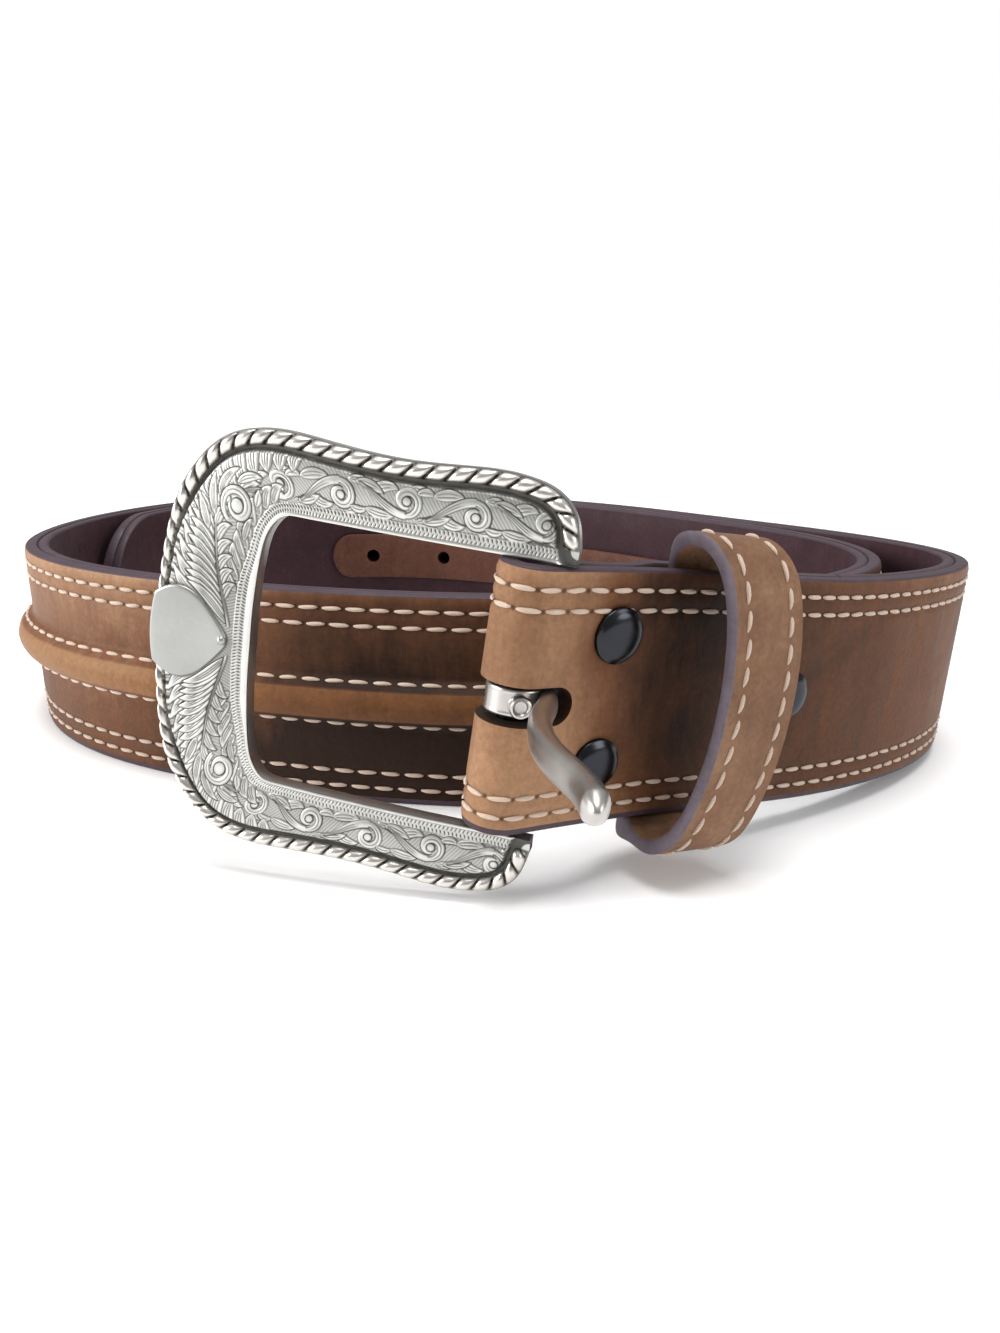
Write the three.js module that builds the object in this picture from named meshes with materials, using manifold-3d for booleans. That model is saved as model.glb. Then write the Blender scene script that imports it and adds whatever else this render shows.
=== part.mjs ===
// Western leather belt with a cast buckle, coiled about one and two thirds turns and standing on its
// lower edge. Millimetres, +Z up, the floor at z = 0, X to the right and Y away from the buckle side.
import * as THREE from 'three';
import { mergeVertices } from 'three/addons/utils/BufferGeometryUtils.js';
import Module from 'manifold-3d';

const wasm = await Module();
wasm.setup();

// Strap
const STRAP_WIDTH = 39.1;
const MID = STRAP_WIDTH / 2;
const LEATHER = 2.6;
const LINING = 2.1;
const GAP = 0.3;
const EDGE_BEVEL = 0.5;
const TIP_ROUNDING = 20;
const TIP_FLAT = 2.5;
const STRAP_STEP = 9;

// Fold round the buckle bar, and the tab that comes back on the inner side
const BAR_RADIUS = 2.0;
const BAR_CLEARANCE = 0.35;
const FOLD_RADIUS = BAR_RADIUS + BAR_CLEARANCE + LEATHER;
const FOLD_STEPS = 8;
const TAB_LENGTH = 61;
const SLOT = { height: 5.8, end: 6.6 };

// Billet fittings, by their distance along the strap from the bar
const SCREWS = [
  { name: 'screw_upper', along: 12.7, above_mid: 10.2 },
  { name: 'screw_lower', along: 12.7, above_mid: -9.6 },
  { name: 'screw_by_keeper', along: 50.8, above_mid: 0 },
];
const SCREW = { head: 4.2, dome: 1.5, post: 1.8, hole: 2.2, back: 3.4, back_thick: 0.9 };
const KEEPER = { along: 32.7, width: 14, leg: 1.6, lower: 0.93, slant: 0.022, sweep: 0.0055 };

// Tip fittings, by their distance back from the tip
const HOLES = { first: 104, pitch: 25.4, count: 7, radius: 2.3 };
const PUNCH = { centre: 4, sides: 12 };
const BACKING = { from_tip: 89.5, length: 181, height: 14, thick: 1.2 };

// Padded ridge along the middle of the strap
const RIDGE = { start: 235, end: 700, width: 8.4, height: 3.9, taper: 14 };

// Buckle frame: the band's inner and outer edge on the upper half, from the bar's end round to the
// middle of the far side. The lower half mirrors it. across counts from the bar, up from its middle.
const BAND = [
  { in_across: -5.9, in_up: 20.2, out_across: -6.0, out_up: 22.3 },
  { in_across: -4.5, in_up: 20.2, out_across: -5.2, out_up: 25.9 },
  { in_across: -2.2, in_up: 20.2, out_across: -2.8, out_up: 29.0 },
  { in_across: 1.0, in_up: 20.2, out_across: 1.2, out_up: 30.6 },
  { in_across: 5.3, in_up: 20.2, out_across: 5.7, out_up: 31.1 },
  { in_across: 11.6, in_up: 20.2, out_across: 11.8, out_up: 30.8 },
  { in_across: 18.0, in_up: 20.2, out_across: 18.4, out_up: 30.4 },
  { in_across: 24.3, in_up: 20.2, out_across: 25.4, out_up: 30.6 },
  { in_across: 29.6, in_up: 20.2, out_across: 32.2, out_up: 31.2 },
  { in_across: 33.1, in_up: 20.2, out_across: 38.1, out_up: 31.5 },
  { in_across: 35.3, in_up: 20.0, out_across: 43.1, out_up: 30.7 },
  { in_across: 36.9, in_up: 18.8, out_across: 47.4, out_up: 28.4 },
  { in_across: 38.1, in_up: 16.6, out_across: 50.6, out_up: 24.9 },
  { in_across: 38.8, in_up: 13.0, out_across: 53.1, out_up: 20.6 },
  { in_across: 39.2, in_up: 8.6, out_across: 54.8, out_up: 13.8 },
  { in_across: 39.4, in_up: 4.2, out_across: 55.6, out_up: 6.8 },
  { in_across: 39.4, in_up: 0.0, out_across: 55.9, out_up: 0.0 },
];
// Section of the band: share of the way from the inner to the outer edge, and height on the face side
const BAND_SECTION = [
  { share: 0.0, face: -1.4 },
  { share: 1.0, face: -1.4 },
  { share: 1.0, face: 0.5 },
  { share: 0.88, face: 1.0 },
  { share: 0.6, face: 1.7 },
  { share: 0.3, face: 1.5 },
  { share: 0.12, face: 1.3 },
  { share: 0.1, face: 1.8 },
  { share: 0.0, face: 1.5 },
];
const BOW = 1.5;
const BOW_SPAN = 57;
const ROPE = { radius: 1.15, pitch: 2.85, stretch: 1.55, slant_deg: 40, inset: 0.7, sides: 6, rings: 3 };
const SHIELD = [
  { across: 55.2, up: 5.4 },
  { across: 52.4, up: 6.9 },
  { across: 49.5, up: 6.7 },
  { across: 46.9, up: 5.0 },
  { across: 44.6, up: 2.5 },
  { across: 43.2, up: 0.0 },
];
const SHIELD_FACE = { from: 0.4, to: 2.5 };
const FRAME_SWING_DEG = -47.8;
const FRAME_PLAY_UP = -0.3;

// Prong: middle line from its curl to the tip, across counts from the bar, face on the face side
const PRONG = [
  { across: -1.4, face: 2.9, wide: 2.0, thick: 0.8 },
  { across: 0.6, face: 4.2, wide: 2.1, thick: 1.2 },
  { across: 2.6, face: 4.6, wide: 2.1, thick: 1.4 },
  { across: 5.2, face: 4.1, wide: 2.1, thick: 1.5 },
  { across: 10.0, face: 2.9, wide: 2.1, thick: 1.6 },
  { across: 16.0, face: 2.1, wide: 2.1, thick: 1.6 },
  { across: 21.5, face: 2.0, wide: 2.1, thick: 1.6 },
  { across: 27.0, face: 2.7, wide: 2.1, thick: 1.6 },
  { across: 32.0, face: 3.9, wide: 2.1, thick: 1.6 },
  { across: 37.0, face: 5.0, wide: 2.1, thick: 1.6 },
  { across: 41.0, face: 5.2, wide: 1.9, thick: 1.5 },
  { across: 42.7, face: 5.1, wide: 1.0, thick: 0.8 },
];
const CURL = { inner: 2.5, outer: 4.1, height: 4.2 };
const PRONG_SWING_DEG = 60;
const PRONG_RISE_DEG = 4;

// Middle of the whole in plan, taken off the strap's line so that the belt stands about the origin
const CENTRE = { x: -1.35, y: 3.57 };

// The strap's grain face from the bar to the tip: its middle in plan, the lift of its lower edge off the
// floor, and the outward lean of its top in degrees
const COIL = [
  { x: 11.6, y: -82.1, lift: 12.3, lean: 5.0 },
  { x: 35.8, y: -66.3, lift: 9.0, lean: 4.8 },
  { x: 59.7, y: -51.6, lift: 5.2, lean: 4.4 },
  { x: 79.3, y: -37.7, lift: 3.2, lean: 4.0 },
  { x: 93.5, y: -23.1, lift: 2.0, lean: 3.6 },
  { x: 102.3, y: -7.4, lift: 1.2, lean: 3.0 },
  { x: 104.4, y: 10.8, lift: 0.5, lean: 2.2 },
  { x: 99.0, y: 28.6, lift: 0.1, lean: 1.2 },
  { x: 88.2, y: 44.8, lift: 0, lean: 0.4 },
  { x: 72.0, y: 62.6, lift: 0, lean: 0 },
  { x: 49.2, y: 86.2, lift: 0, lean: 0 },
  { x: 22.8, y: 106.0, lift: 0, lean: 0 },
  { x: -7.2, y: 120.2, lift: 0, lean: 0 },
  { x: -39.6, y: 122.8, lift: 0, lean: 0 },
  { x: -68.2, y: 111.4, lift: 0, lean: 0 },
  { x: -90.0, y: 89.2, lift: 0, lean: 0 },
  { x: -101.6, y: 61.3, lift: 0, lean: 0.6 },
  { x: -103.9, y: 33.4, lift: 0, lean: 1.5 },
  { x: -97.8, y: 7.4, lift: 0, lean: 1.5 },
  { x: -80.5, y: -15.1, lift: 0, lean: 0.6 },
  { x: -52.7, y: -31.5, lift: 0, lean: 0 },
  { x: -19.2, y: -41.5, lift: 0, lean: 0 },
  { x: 15.6, y: -44.0, lift: 0, lean: 0 },
  { x: 46.8, y: -37.6, lift: 0, lean: 0 },
  { x: 71.2, y: -24.1, lift: 0, lean: 0 },
  { x: 85.4, y: -7.5, lift: 0, lean: 0 },
  { x: 89.8, y: 11.8, lift: 0, lean: 0 },
  { x: 86.0, y: 29.6, lift: 0, lean: 0 },
  { x: 77.0, y: 45.4, lift: 0, lean: 0 },
  { x: 63.0, y: 62.6, lift: 0, lean: 0 },
  { x: 42.0, y: 84.4, lift: 0, lean: 0 },
  { x: 15.2, y: 103.6, lift: 0, lean: 0 },
  { x: -15.6, y: 115.6, lift: 0, lean: 0 },
  { x: -45.8, y: 115.2, lift: 0, lean: 0 },
  { x: -71.0, y: 101.4, lift: 0, lean: 0 },
  { x: -87.2, y: 79.8, lift: 0, lean: 0 },
  { x: -97.4, y: 44.5, lift: 0, lean: 0 },
];

const COLOURS = {
  leather: { color: 0x6b4630, roughness: 0.72, metalness: 0 },
  lining: { color: 0x3a2a2c, roughness: 0.8, metalness: 0 },
  ridge: { color: 0x9a7046, roughness: 0.65, metalness: 0 },
  backing: { color: 0x5b392c, roughness: 0.75, metalness: 0 },
  keeper: { color: 0x94704f, roughness: 0.7, metalness: 0 },
  silver: { color: 0xb9b9b4, roughness: 0.32, metalness: 1 },
  prong: { color: 0xa9a9a6, roughness: 0.22, metalness: 1 },
  screw: { color: 0x33353a, roughness: 0.3, metalness: 1 },
};

const radians = THREE.MathUtils.degToRad;

// Natural cubic spline through values at rising knots
function naturalSpline(knots, values) {
  const last = knots.length - 1;
  const bend = new Array(last + 1).fill(0);
  const carry = new Array(last + 1).fill(0);
  for (let i = 1; i < last; i++) {
    const before = knots[i] - knots[i - 1];
    const after = knots[i + 1] - knots[i];
    const share = before / (before + after);
    const pivot = share * bend[i - 1] + 2;
    const kink = (values[i + 1] - values[i]) / after - (values[i] - values[i - 1]) / before;
    bend[i] = (share - 1) / pivot;
    carry[i] = ((6 * kink) / (before + after) - share * carry[i - 1]) / pivot;
  }
  const second = new Array(last + 1).fill(0);
  for (let i = last - 1; i > 0; i--) {
    second[i] = bend[i] * second[i + 1] + carry[i];
  }
  return (at) => {
    let i = 0;
    while (i < last - 1 && at > knots[i + 1]) {
      i++;
    }
    const span = knots[i + 1] - knots[i];
    const b = (at - knots[i]) / span;
    const a = 1 - b;
    const curve = (a * a * a - a) * second[i] + (b * b * b - b) * second[i + 1];
    return a * values[i] + b * values[i + 1] + (curve * span * span) / 6;
  };
}

// The strap's line by its length from the bar
function measureCoil() {
  const knots = [0];
  for (let i = 1; i < COIL.length; i++) {
    const step = Math.hypot(COIL[i].x - COIL[i - 1].x, COIL[i].y - COIL[i - 1].y);
    knots.push(knots[i - 1] + step);
  }
  const column = (name, from = 0) => naturalSpline(knots, COIL.map((row) => row[name] - from));
  const line = {
    x: column('x', CENTRE.x),
    y: column('y', CENTRE.y),
    lift: column('lift'),
    lean: column('lean'),
  };
  const samples = 4000;
  const end = knots[knots.length - 1];
  const lengths = [0];
  let previous = new THREE.Vector3(line.x(0), line.y(0), line.lift(0));
  for (let i = 1; i <= samples; i++) {
    const at = (end * i) / samples;
    const point = new THREE.Vector3(line.x(at), line.y(at), line.lift(at));
    lengths.push(lengths[i - 1] + point.distanceTo(previous));
    previous = point;
  }
  const toKnot = (length) => {
    let low = 0;
    let high = samples;
    while (high - low > 1) {
      const middle = (low + high) >> 1;
      if (lengths[middle] <= length) {
        low = middle;
      } else {
        high = middle;
      }
    }
    const share = (length - lengths[low]) / (lengths[high] - lengths[low]);
    return (end * (low + share)) / samples;
  };
  return { line, toKnot, length: lengths[samples], end };
}

const coil = measureCoil();
const STRAP_LENGTH = coil.length;

// Point and directions of the strap at a length from the bar: along it, up it and out of its grain face
function strapFrame(length) {
  const { line, toKnot, end } = coil;
  const at = Math.min(Math.max(toKnot(length), 0), end);
  const reach = 0.25;
  const middleHeight = (u) => Math.max(line.lift(u), 0) + MID * Math.cos(radians(line.lean(u)));
  const point = (u) => new THREE.Vector3(line.x(u), line.y(u), middleHeight(u));
  const along = point(Math.min(at + reach, end)).sub(point(Math.max(at - reach, 0))).normalize();
  const level = new THREE.Vector3(along.y, -along.x, 0).normalize();
  const upright = new THREE.Vector3().crossVectors(level, along);
  const lean = radians(Math.max(line.lean(at), 0));
  const up = upright.clone().multiplyScalar(Math.cos(lean)).addScaledVector(level, Math.sin(lean));
  const out = level.clone().multiplyScalar(Math.cos(lean)).addScaledVector(upright, -Math.sin(lean));
  return { point: point(at), along, up, out };
}

// Point on or off the strap: out of the grain face, and above the middle of its width
function onStrap(length, out, aboveMid) {
  const frame = strapFrame(length);
  return frame.point.clone().addScaledVector(frame.out, out).addScaledVector(frame.up, aboveMid);
}

// Turns a flat shape's points into a THREE.Shape
function shapeOf(points) {
  return new THREE.Shape(points.map(([x, y]) => new THREE.Vector2(x, y)));
}

// Loft: a section carried through stations, each placing the section's points in space
function loft(section, stations, place) {
  const steps = stations.length - 1;
  const geometry = new THREE.ExtrudeGeometry(shapeOf(section), { steps, depth: 1, bevelEnabled: false });
  const position = geometry.attributes.position;
  for (let i = 0; i < position.count; i++) {
    const station = stations[Math.round(position.getZ(i) * steps)];
    const point = place(station, position.getX(i), position.getY(i));
    position.setXYZ(i, point.x, point.y, point.z);
  }
  return faceOutward(geometry);
}

// Turns every triangle round if the closed geometry's faces point inwards
function faceOutward(geometry) {
  const position = geometry.attributes.position;
  const corner = [new THREE.Vector3(), new THREE.Vector3(), new THREE.Vector3()];
  let volume = 0;
  for (let i = 0; i < position.count; i += 3) {
    corner.forEach((point, k) => point.fromBufferAttribute(position, i + k));
    volume += corner[0].dot(corner[1].clone().cross(corner[2]));
  }
  for (let i = 0; volume < 0 && i < position.count; i += 3) {
    corner[1].fromBufferAttribute(position, i + 1);
    corner[2].fromBufferAttribute(position, i + 2);
    position.setXYZ(i + 1, corner[2].x, corner[2].y, corner[2].z);
    position.setXYZ(i + 2, corner[1].x, corner[1].y, corner[1].z);
  }
  return geometry;
}

// Closed geometry to solid and back
function toSolid(geometry) {
  const bare = new THREE.BufferGeometry();
  bare.setAttribute('position', geometry.attributes.position.clone());
  if (geometry.index) {
    bare.setIndex(geometry.index.clone());
  }
  const merged = mergeVertices(bare, 1e-4);
  const mesh = new wasm.Mesh({
    numProp: 3,
    vertProperties: new Float32Array(merged.attributes.position.array),
    triVerts: new Uint32Array(merged.index.array),
  });
  return new wasm.Manifold(mesh);
}

function toGeometry(solid) {
  const mesh = solid.getMesh();
  const geometry = new THREE.BufferGeometry();
  geometry.setAttribute('position', new THREE.BufferAttribute(new Float32Array(mesh.vertProperties), 3));
  geometry.setIndex(new THREE.BufferAttribute(new Uint32Array(mesh.triVerts), 1));
  return geometry;
}

function named(name, geometry, look) {
  geometry.deleteAttribute('normal');
  geometry.deleteAttribute('uv');
  const flat = geometry.index ? geometry.toNonIndexed() : geometry;
  flat.computeVertexNormals();
  const material = new THREE.MeshStandardMaterial({ ...COLOURS[look], flatShading: true });
  const mesh = new THREE.Mesh(flat, material);
  mesh.name = name;
  return mesh;
}

// Plain strip between two depths, its edges at -1 and 1 of its half height
function stripSection(back, front) {
  return [
    [back, -1],
    [front, -1],
    [front, 1],
    [back, 1],
  ];
}

// Half height of the strap, which rounds off at the tip
function halfHeightAt(length) {
  const into = (length - (STRAP_LENGTH - TIP_ROUNDING)) / TIP_ROUNDING;
  if (into <= 0) {
    return MID;
  }
  return Math.max(MID * Math.sqrt(Math.max(1 - into * into, 0)), TIP_FLAT);
}

// Lengths along the strap, closer together round the tip
function strapStations(from, to, step) {
  const bodyEnd = Math.min(to, STRAP_LENGTH - TIP_ROUNDING);
  const count = Math.max(Math.round((bodyEnd - from) / step), 1);
  const stations = [];
  for (let i = 0; i <= count; i++) {
    stations.push(from + ((bodyEnd - from) * i) / count);
  }
  const tipSteps = 6;
  for (let i = 1; to > bodyEnd && i <= tipSteps; i++) {
    stations.push(bodyEnd + TIP_ROUNDING * Math.sin((Math.PI / 2) * (i / tipSteps)));
  }
  return stations;
}

const barFrame = strapFrame(0);
const barCentre = onStrap(0, -FOLD_RADIUS, 0);

// Depth of the tab's middle behind the grain face, by the strap length that it lies behind
const TAB_DEPTH = [
  { along: 0, depth: 2 * FOLD_RADIUS - LEATHER / 2 },
  { along: 3.5, depth: 7.6 },
  { along: 7, depth: 5.2 },
  { along: 9.2, depth: 4.3 },
  { along: 16.2, depth: 4.3 },
  { along: 21.4, depth: 6.6 },
  { along: 31, depth: 6.7 },
  { along: 41, depth: 6.6 },
  { along: 46.6, depth: 4.3 },
  { along: 53, depth: 4.2 },
  { along: TAB_LENGTH, depth: 4.2 },
];

// Middle line of the outer leather: tab end, tab, fold, then the strap to its tip
function leatherStations() {
  const stations = [];
  for (const row of [...TAB_DEPTH].reverse()) {
    const frame = strapFrame(row.along);
    stations.push({ middle: onStrap(row.along, -row.depth, 0), up: frame.up, half: MID });
  }
  const radius = FOLD_RADIUS - LEATHER / 2;
  for (let i = 1; i < FOLD_STEPS; i++) {
    const turn = (Math.PI * i) / FOLD_STEPS;
    const middle = barCentre
      .clone()
      .addScaledVector(barFrame.out, -radius * Math.cos(turn))
      .addScaledVector(barFrame.along, -radius * Math.sin(turn));
    stations.push({ middle, up: barFrame.up, half: MID });
  }
  for (const length of strapStations(0, STRAP_LENGTH, STRAP_STEP)) {
    const frame = strapFrame(length);
    const middle = onStrap(length, -LEATHER / 2, 0);
    stations.push({ middle, up: frame.up, half: halfHeightAt(length) });
  }
  stations.forEach((station, i) => {
    const before = stations[Math.max(i - 1, 0)].middle;
    const after = stations[Math.min(i + 1, stations.length - 1)].middle;
    station.out = new THREE.Vector3().subVectors(after, before).cross(station.up).normalize();
  });
  return stations;
}

function strapMatrix(length, out, aboveMid) {
  const frame = strapFrame(length);
  return new THREE.Matrix4()
    .makeBasis(frame.along, frame.up, frame.out)
    .setPosition(onStrap(length, out, aboveMid));
}

// Round cutter through the strap's thickness
function punch(length, aboveMid, radius) {
  const geometry = new THREE.CylinderGeometry(radius, radius, 4 * PUNCH.centre, PUNCH.sides);
  geometry.rotateX(Math.PI / 2);
  geometry.applyMatrix4(strapMatrix(length, -PUNCH.centre, aboveMid));
  return toSolid(geometry);
}

function cutHoles(solid) {
  let cut = solid;
  for (let i = 0; i < HOLES.count; i++) {
    const length = STRAP_LENGTH - HOLES.first - i * HOLES.pitch;
    cut = cut.subtract(punch(length, 0, HOLES.radius));
  }
  return cut;
}

function outerLeather() {
  const half = LEATHER / 2;
  const section = [
    [-half, -1],
    [half - EDGE_BEVEL, -1],
    [half, -1],
    [half, 1],
    [half - EDGE_BEVEL, 1],
    [-half, 1],
  ];
  section[2][1] += EDGE_BEVEL / MID;
  section[3][1] -= EDGE_BEVEL / MID;
  const place = (station, out, edge) =>
    station.middle.clone().addScaledVector(station.out, out).addScaledVector(station.up, edge * station.half);
  let solid = toSolid(loft(section, leatherStations(), place));
  solid = solid.subtract(prongSlot());
  for (const screw of SCREWS) {
    solid = solid.subtract(punch(screw.along, screw.above_mid, SCREW.hole));
  }
  return named('outer_leather', toGeometry(cutHoles(solid)), 'leather');
}

function prongSlot() {
  const radius = SLOT.height / 2;
  const shape = new THREE.Shape();
  shape.moveTo(-12, -radius);
  shape.lineTo(SLOT.end - radius, -radius);
  shape.absarc(SLOT.end - radius, 0, radius, -Math.PI / 2, Math.PI / 2, false);
  shape.lineTo(-12, radius);
  const geometry = new THREE.ExtrudeGeometry(shape, { depth: 16, bevelEnabled: false, curveSegments: 8 });
  geometry.translate(0, 0, -8);
  geometry.applyMatrix4(barMatrix());
  return toSolid(geometry);
}

function barMatrix() {
  return new THREE.Matrix4().makeBasis(barFrame.along, barFrame.up, barFrame.out).setPosition(barCentre);
}

function lining() {
  const front = -(LEATHER + GAP);
  const section = stripSection(front - LINING, front);
  const place = (length, out, edge) => onStrap(length, out, edge * halfHeightAt(length));
  const stations = strapStations(TAB_LENGTH + 2 * GAP, STRAP_LENGTH, STRAP_STEP);
  return named('lining', toGeometry(cutHoles(toSolid(loft(section, stations, place)))), 'lining');
}

function centreRidge() {
  const sides = 6;
  const section = [];
  for (let i = 0; i <= sides; i++) {
    const turn = (Math.PI * i) / sides;
    section.push([Math.sin(turn), -Math.cos(turn)]);
  }
  const stations = [];
  const count = Math.round((RIDGE.end - RIDGE.start - 2 * RIDGE.taper) / STRAP_STEP);
  stations.push(RIDGE.start, RIDGE.start + RIDGE.taper / 3);
  for (let i = 0; i <= count; i++) {
    const span = RIDGE.end - RIDGE.start - 2 * RIDGE.taper;
    stations.push(RIDGE.start + RIDGE.taper + (span * i) / count);
  }
  stations.push(RIDGE.end - RIDGE.taper / 3, RIDGE.end);
  const place = (length, out, edge) => {
    const nearEnd = Math.min(length - RIDGE.start, RIDGE.end - length) / RIDGE.taper;
    const swell = 0.3 + 0.7 * Math.sqrt(Math.min(nearEnd, 1));
    const height = GAP + out * (RIDGE.height - GAP) * swell;
    return onStrap(length, height, (edge * RIDGE.width * Math.min(0.4 + swell, 1)) / 2);
  };
  return named('centre_ridge', loft(section, stations, place), 'ridge');
}

function holeBacking() {
  const front = -(LEATHER + GAP + LINING + GAP);
  const section = stripSection(front - BACKING.thick, front);
  const end = STRAP_LENGTH - BACKING.from_tip;
  const start = end - BACKING.length;
  const half = BACKING.height / 2;
  const stations = [start];
  const count = Math.round((BACKING.length - 2 * half) / STRAP_STEP);
  const roundSteps = 3;
  for (let i = 1; i < roundSteps; i++) {
    stations.push(start + half * (1 - Math.cos((Math.PI / 2) * (i / roundSteps))));
  }
  for (let i = 0; i <= count; i++) {
    stations.push(start + half + ((BACKING.length - 2 * half) * i) / count);
  }
  for (let i = roundSteps - 1; i >= 1; i--) {
    stations.push(end - half * (1 - Math.cos((Math.PI / 2) * (i / roundSteps))));
  }
  stations.push(end);
  const place = (length, out, edge) => {
    const fromEnd = Math.min(length - start, end - length, half);
    const reach = Math.max(Math.sqrt(half * half - (half - fromEnd) ** 2), 1.5);
    return onStrap(length, out, edge * reach);
  };
  return named('hole_backing', toGeometry(cutHoles(toSolid(loft(section, stations, place)))), 'backing');
}

// Keeper: a leather loop, its front leg bowed clear of the strap and its back leg thin behind it. Its
// two ends are drawn towards the buckle.
function keeper() {
  const rear = -(LEATHER + 1.5 * GAP);
  const outer = [
    [rear - KEEPER.leg, 19.1],
    [-3.3, 23.7],
    [0.2, 25.6],
    [4.6, 25.4],
    [8.6, 22.1],
    [10.4, 15.8],
    [11.2, 8],
    [11.4, 0],
  ];
  const inner = [
    [rear, 20.0],
    [-1.8, 22.2],
    [0.4, 23.4],
    [3.9, 23.1],
    [6.8, 20.2],
    [8.4, 14.8],
    [9.1, 7.6],
    [9.3, 0],
  ];
  const ring = (half) => {
    const lower = half
      .slice(0, -1)
      .reverse()
      .map(([out, up]) => [out, out > rear ? -up * KEEPER.lower : -up]);
    return [...half, ...lower].map(([out, up]) => new THREE.Vector2(out, up));
  };
  const shape = new THREE.Shape(ring(outer));
  shape.holes.push(new THREE.Path(ring(inner).reverse()));
  const geometry = new THREE.ExtrudeGeometry(shape, { depth: KEEPER.width, bevelEnabled: false });
  geometry.translate(0, 0, -KEEPER.width / 2);
  const position = geometry.attributes.position;
  for (let i = 0; i < position.count; i++) {
    const up = position.getY(i);
    position.setZ(i, position.getZ(i) + KEEPER.slant * up + KEEPER.sweep * up * up);
  }
  const mesh = named('keeper', geometry, 'keeper');
  const frame = strapFrame(KEEPER.along);
  const turn = new THREE.Matrix4().makeBasis(frame.out, frame.up, frame.along.clone().negate());
  mesh.setRotationFromMatrix(turn);
  mesh.position.copy(onStrap(KEEPER.along, 0, 0));
  return mesh;
}

// Screw: domed head, post through both leathers, flat back head
function screw(row) {
  const behind = -(2 * LEATHER + GAP + 2 * GAP);
  const profile = [
    [0, behind - SCREW.back_thick],
    [SCREW.back, behind - SCREW.back_thick],
    [SCREW.back, behind],
    [SCREW.post, behind],
    [SCREW.post, GAP],
    [SCREW.head, GAP],
    [SCREW.head, GAP + 0.3],
    [SCREW.head * 0.72, GAP + SCREW.dome * 0.72],
    [SCREW.head * 0.36, GAP + SCREW.dome * 0.95],
    [0, GAP + SCREW.dome],
  ];
  const geometry = new THREE.LatheGeometry(profile.map(([x, y]) => new THREE.Vector2(x, y)), 16);
  geometry.rotateX(Math.PI / 2);
  const mesh = named(row.name, toGeometry(toSolid(geometry)), 'screw');
  const matrix = strapMatrix(row.along, 0, row.above_mid);
  mesh.setRotationFromMatrix(matrix);
  mesh.position.setFromMatrixPosition(matrix);
  return mesh;
}

// Slight bow of the frame: its middle stands forward of the bar and the far side
function bowAt(across) {
  const share = Math.min(Math.max(across / BOW_SPAN, 0), 1);
  return 4 * BOW * share * (1 - share);
}

function bandRows() {
  const lower = BAND.slice(0, -1)
    .reverse()
    .map((row) => ({ ...row, in_up: -row.in_up, out_up: -row.out_up }));
  return [...BAND, ...lower];
}

function bandSolid() {
  const section = BAND_SECTION.map((row) => [row.share, row.face]);
  const place = (row, share, face) => {
    const across = row.in_across + (row.out_across - row.in_across) * share;
    const up = row.in_up + (row.out_up - row.in_up) * share;
    return new THREE.Vector3(-across, up, face + bowAt(across));
  };
  return toSolid(loft(section, bandRows(), place));
}

// Rope edge: a row of slanted beads set into the band's outer edge
function ropeBeads() {
  const points = bandRows().map((row) => {
    const outward = new THREE.Vector2(row.out_across - row.in_across, row.out_up - row.in_up).normalize();
    return new THREE.Vector3(
      -(row.out_across - ROPE.inset * outward.x),
      row.out_up - ROPE.inset * outward.y,
      0,
    );
  });
  const curve = new THREE.CatmullRomCurve3(points, false, 'centripetal');
  const count = Math.round(curve.getLength() / ROPE.pitch);
  const beads = [];
  for (let i = 0; i < count; i++) {
    const at = (i + 0.5) / count;
    const centre = curve.getPointAt(at);
    const tangent = curve.getTangentAt(at);
    const bead = new THREE.SphereGeometry(ROPE.radius, ROPE.sides, ROPE.rings);
    bead.scale(ROPE.stretch, 0.9, 1);
    bead.rotateZ(radians(ROPE.slant_deg));
    bead.rotateZ(Math.atan2(tangent.y, tangent.x));
    bead.translate(centre.x, centre.y, 0.15 + bowAt(-centre.x));
    beads.push(toSolid(bead));
  }
  return beads;
}

function shieldSolid() {
  const lower = SHIELD.slice(0, -1)
    .reverse()
    .map((row) => ({ ...row, up: -row.up }));
  const outline = [...SHIELD, ...lower].map((row) => [-row.across, row.up]);
  const depth = SHIELD_FACE.to - SHIELD_FACE.from;
  const geometry = new THREE.ExtrudeGeometry(shapeOf(outline), { depth, bevelEnabled: false });
  geometry.translate(0, 0, SHIELD_FACE.from + bowAt(SHIELD[2].across));
  return toSolid(geometry);
}

function buckleFrame() {
  let solid = bandSolid();
  const bar = new THREE.CylinderGeometry(BAR_RADIUS, BAR_RADIUS, 2 * 22.5, 12);
  solid = solid.add(toSolid(bar));
  for (const bead of ropeBeads()) {
    solid = solid.add(bead);
  }
  solid = solid.add(shieldSolid());
  const mesh = named('buckle_frame', toGeometry(solid), 'silver');
  mesh.rotation.y = radians(FRAME_SWING_DEG);
  mesh.position.y = FRAME_PLAY_UP;
  return mesh;
}

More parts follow.
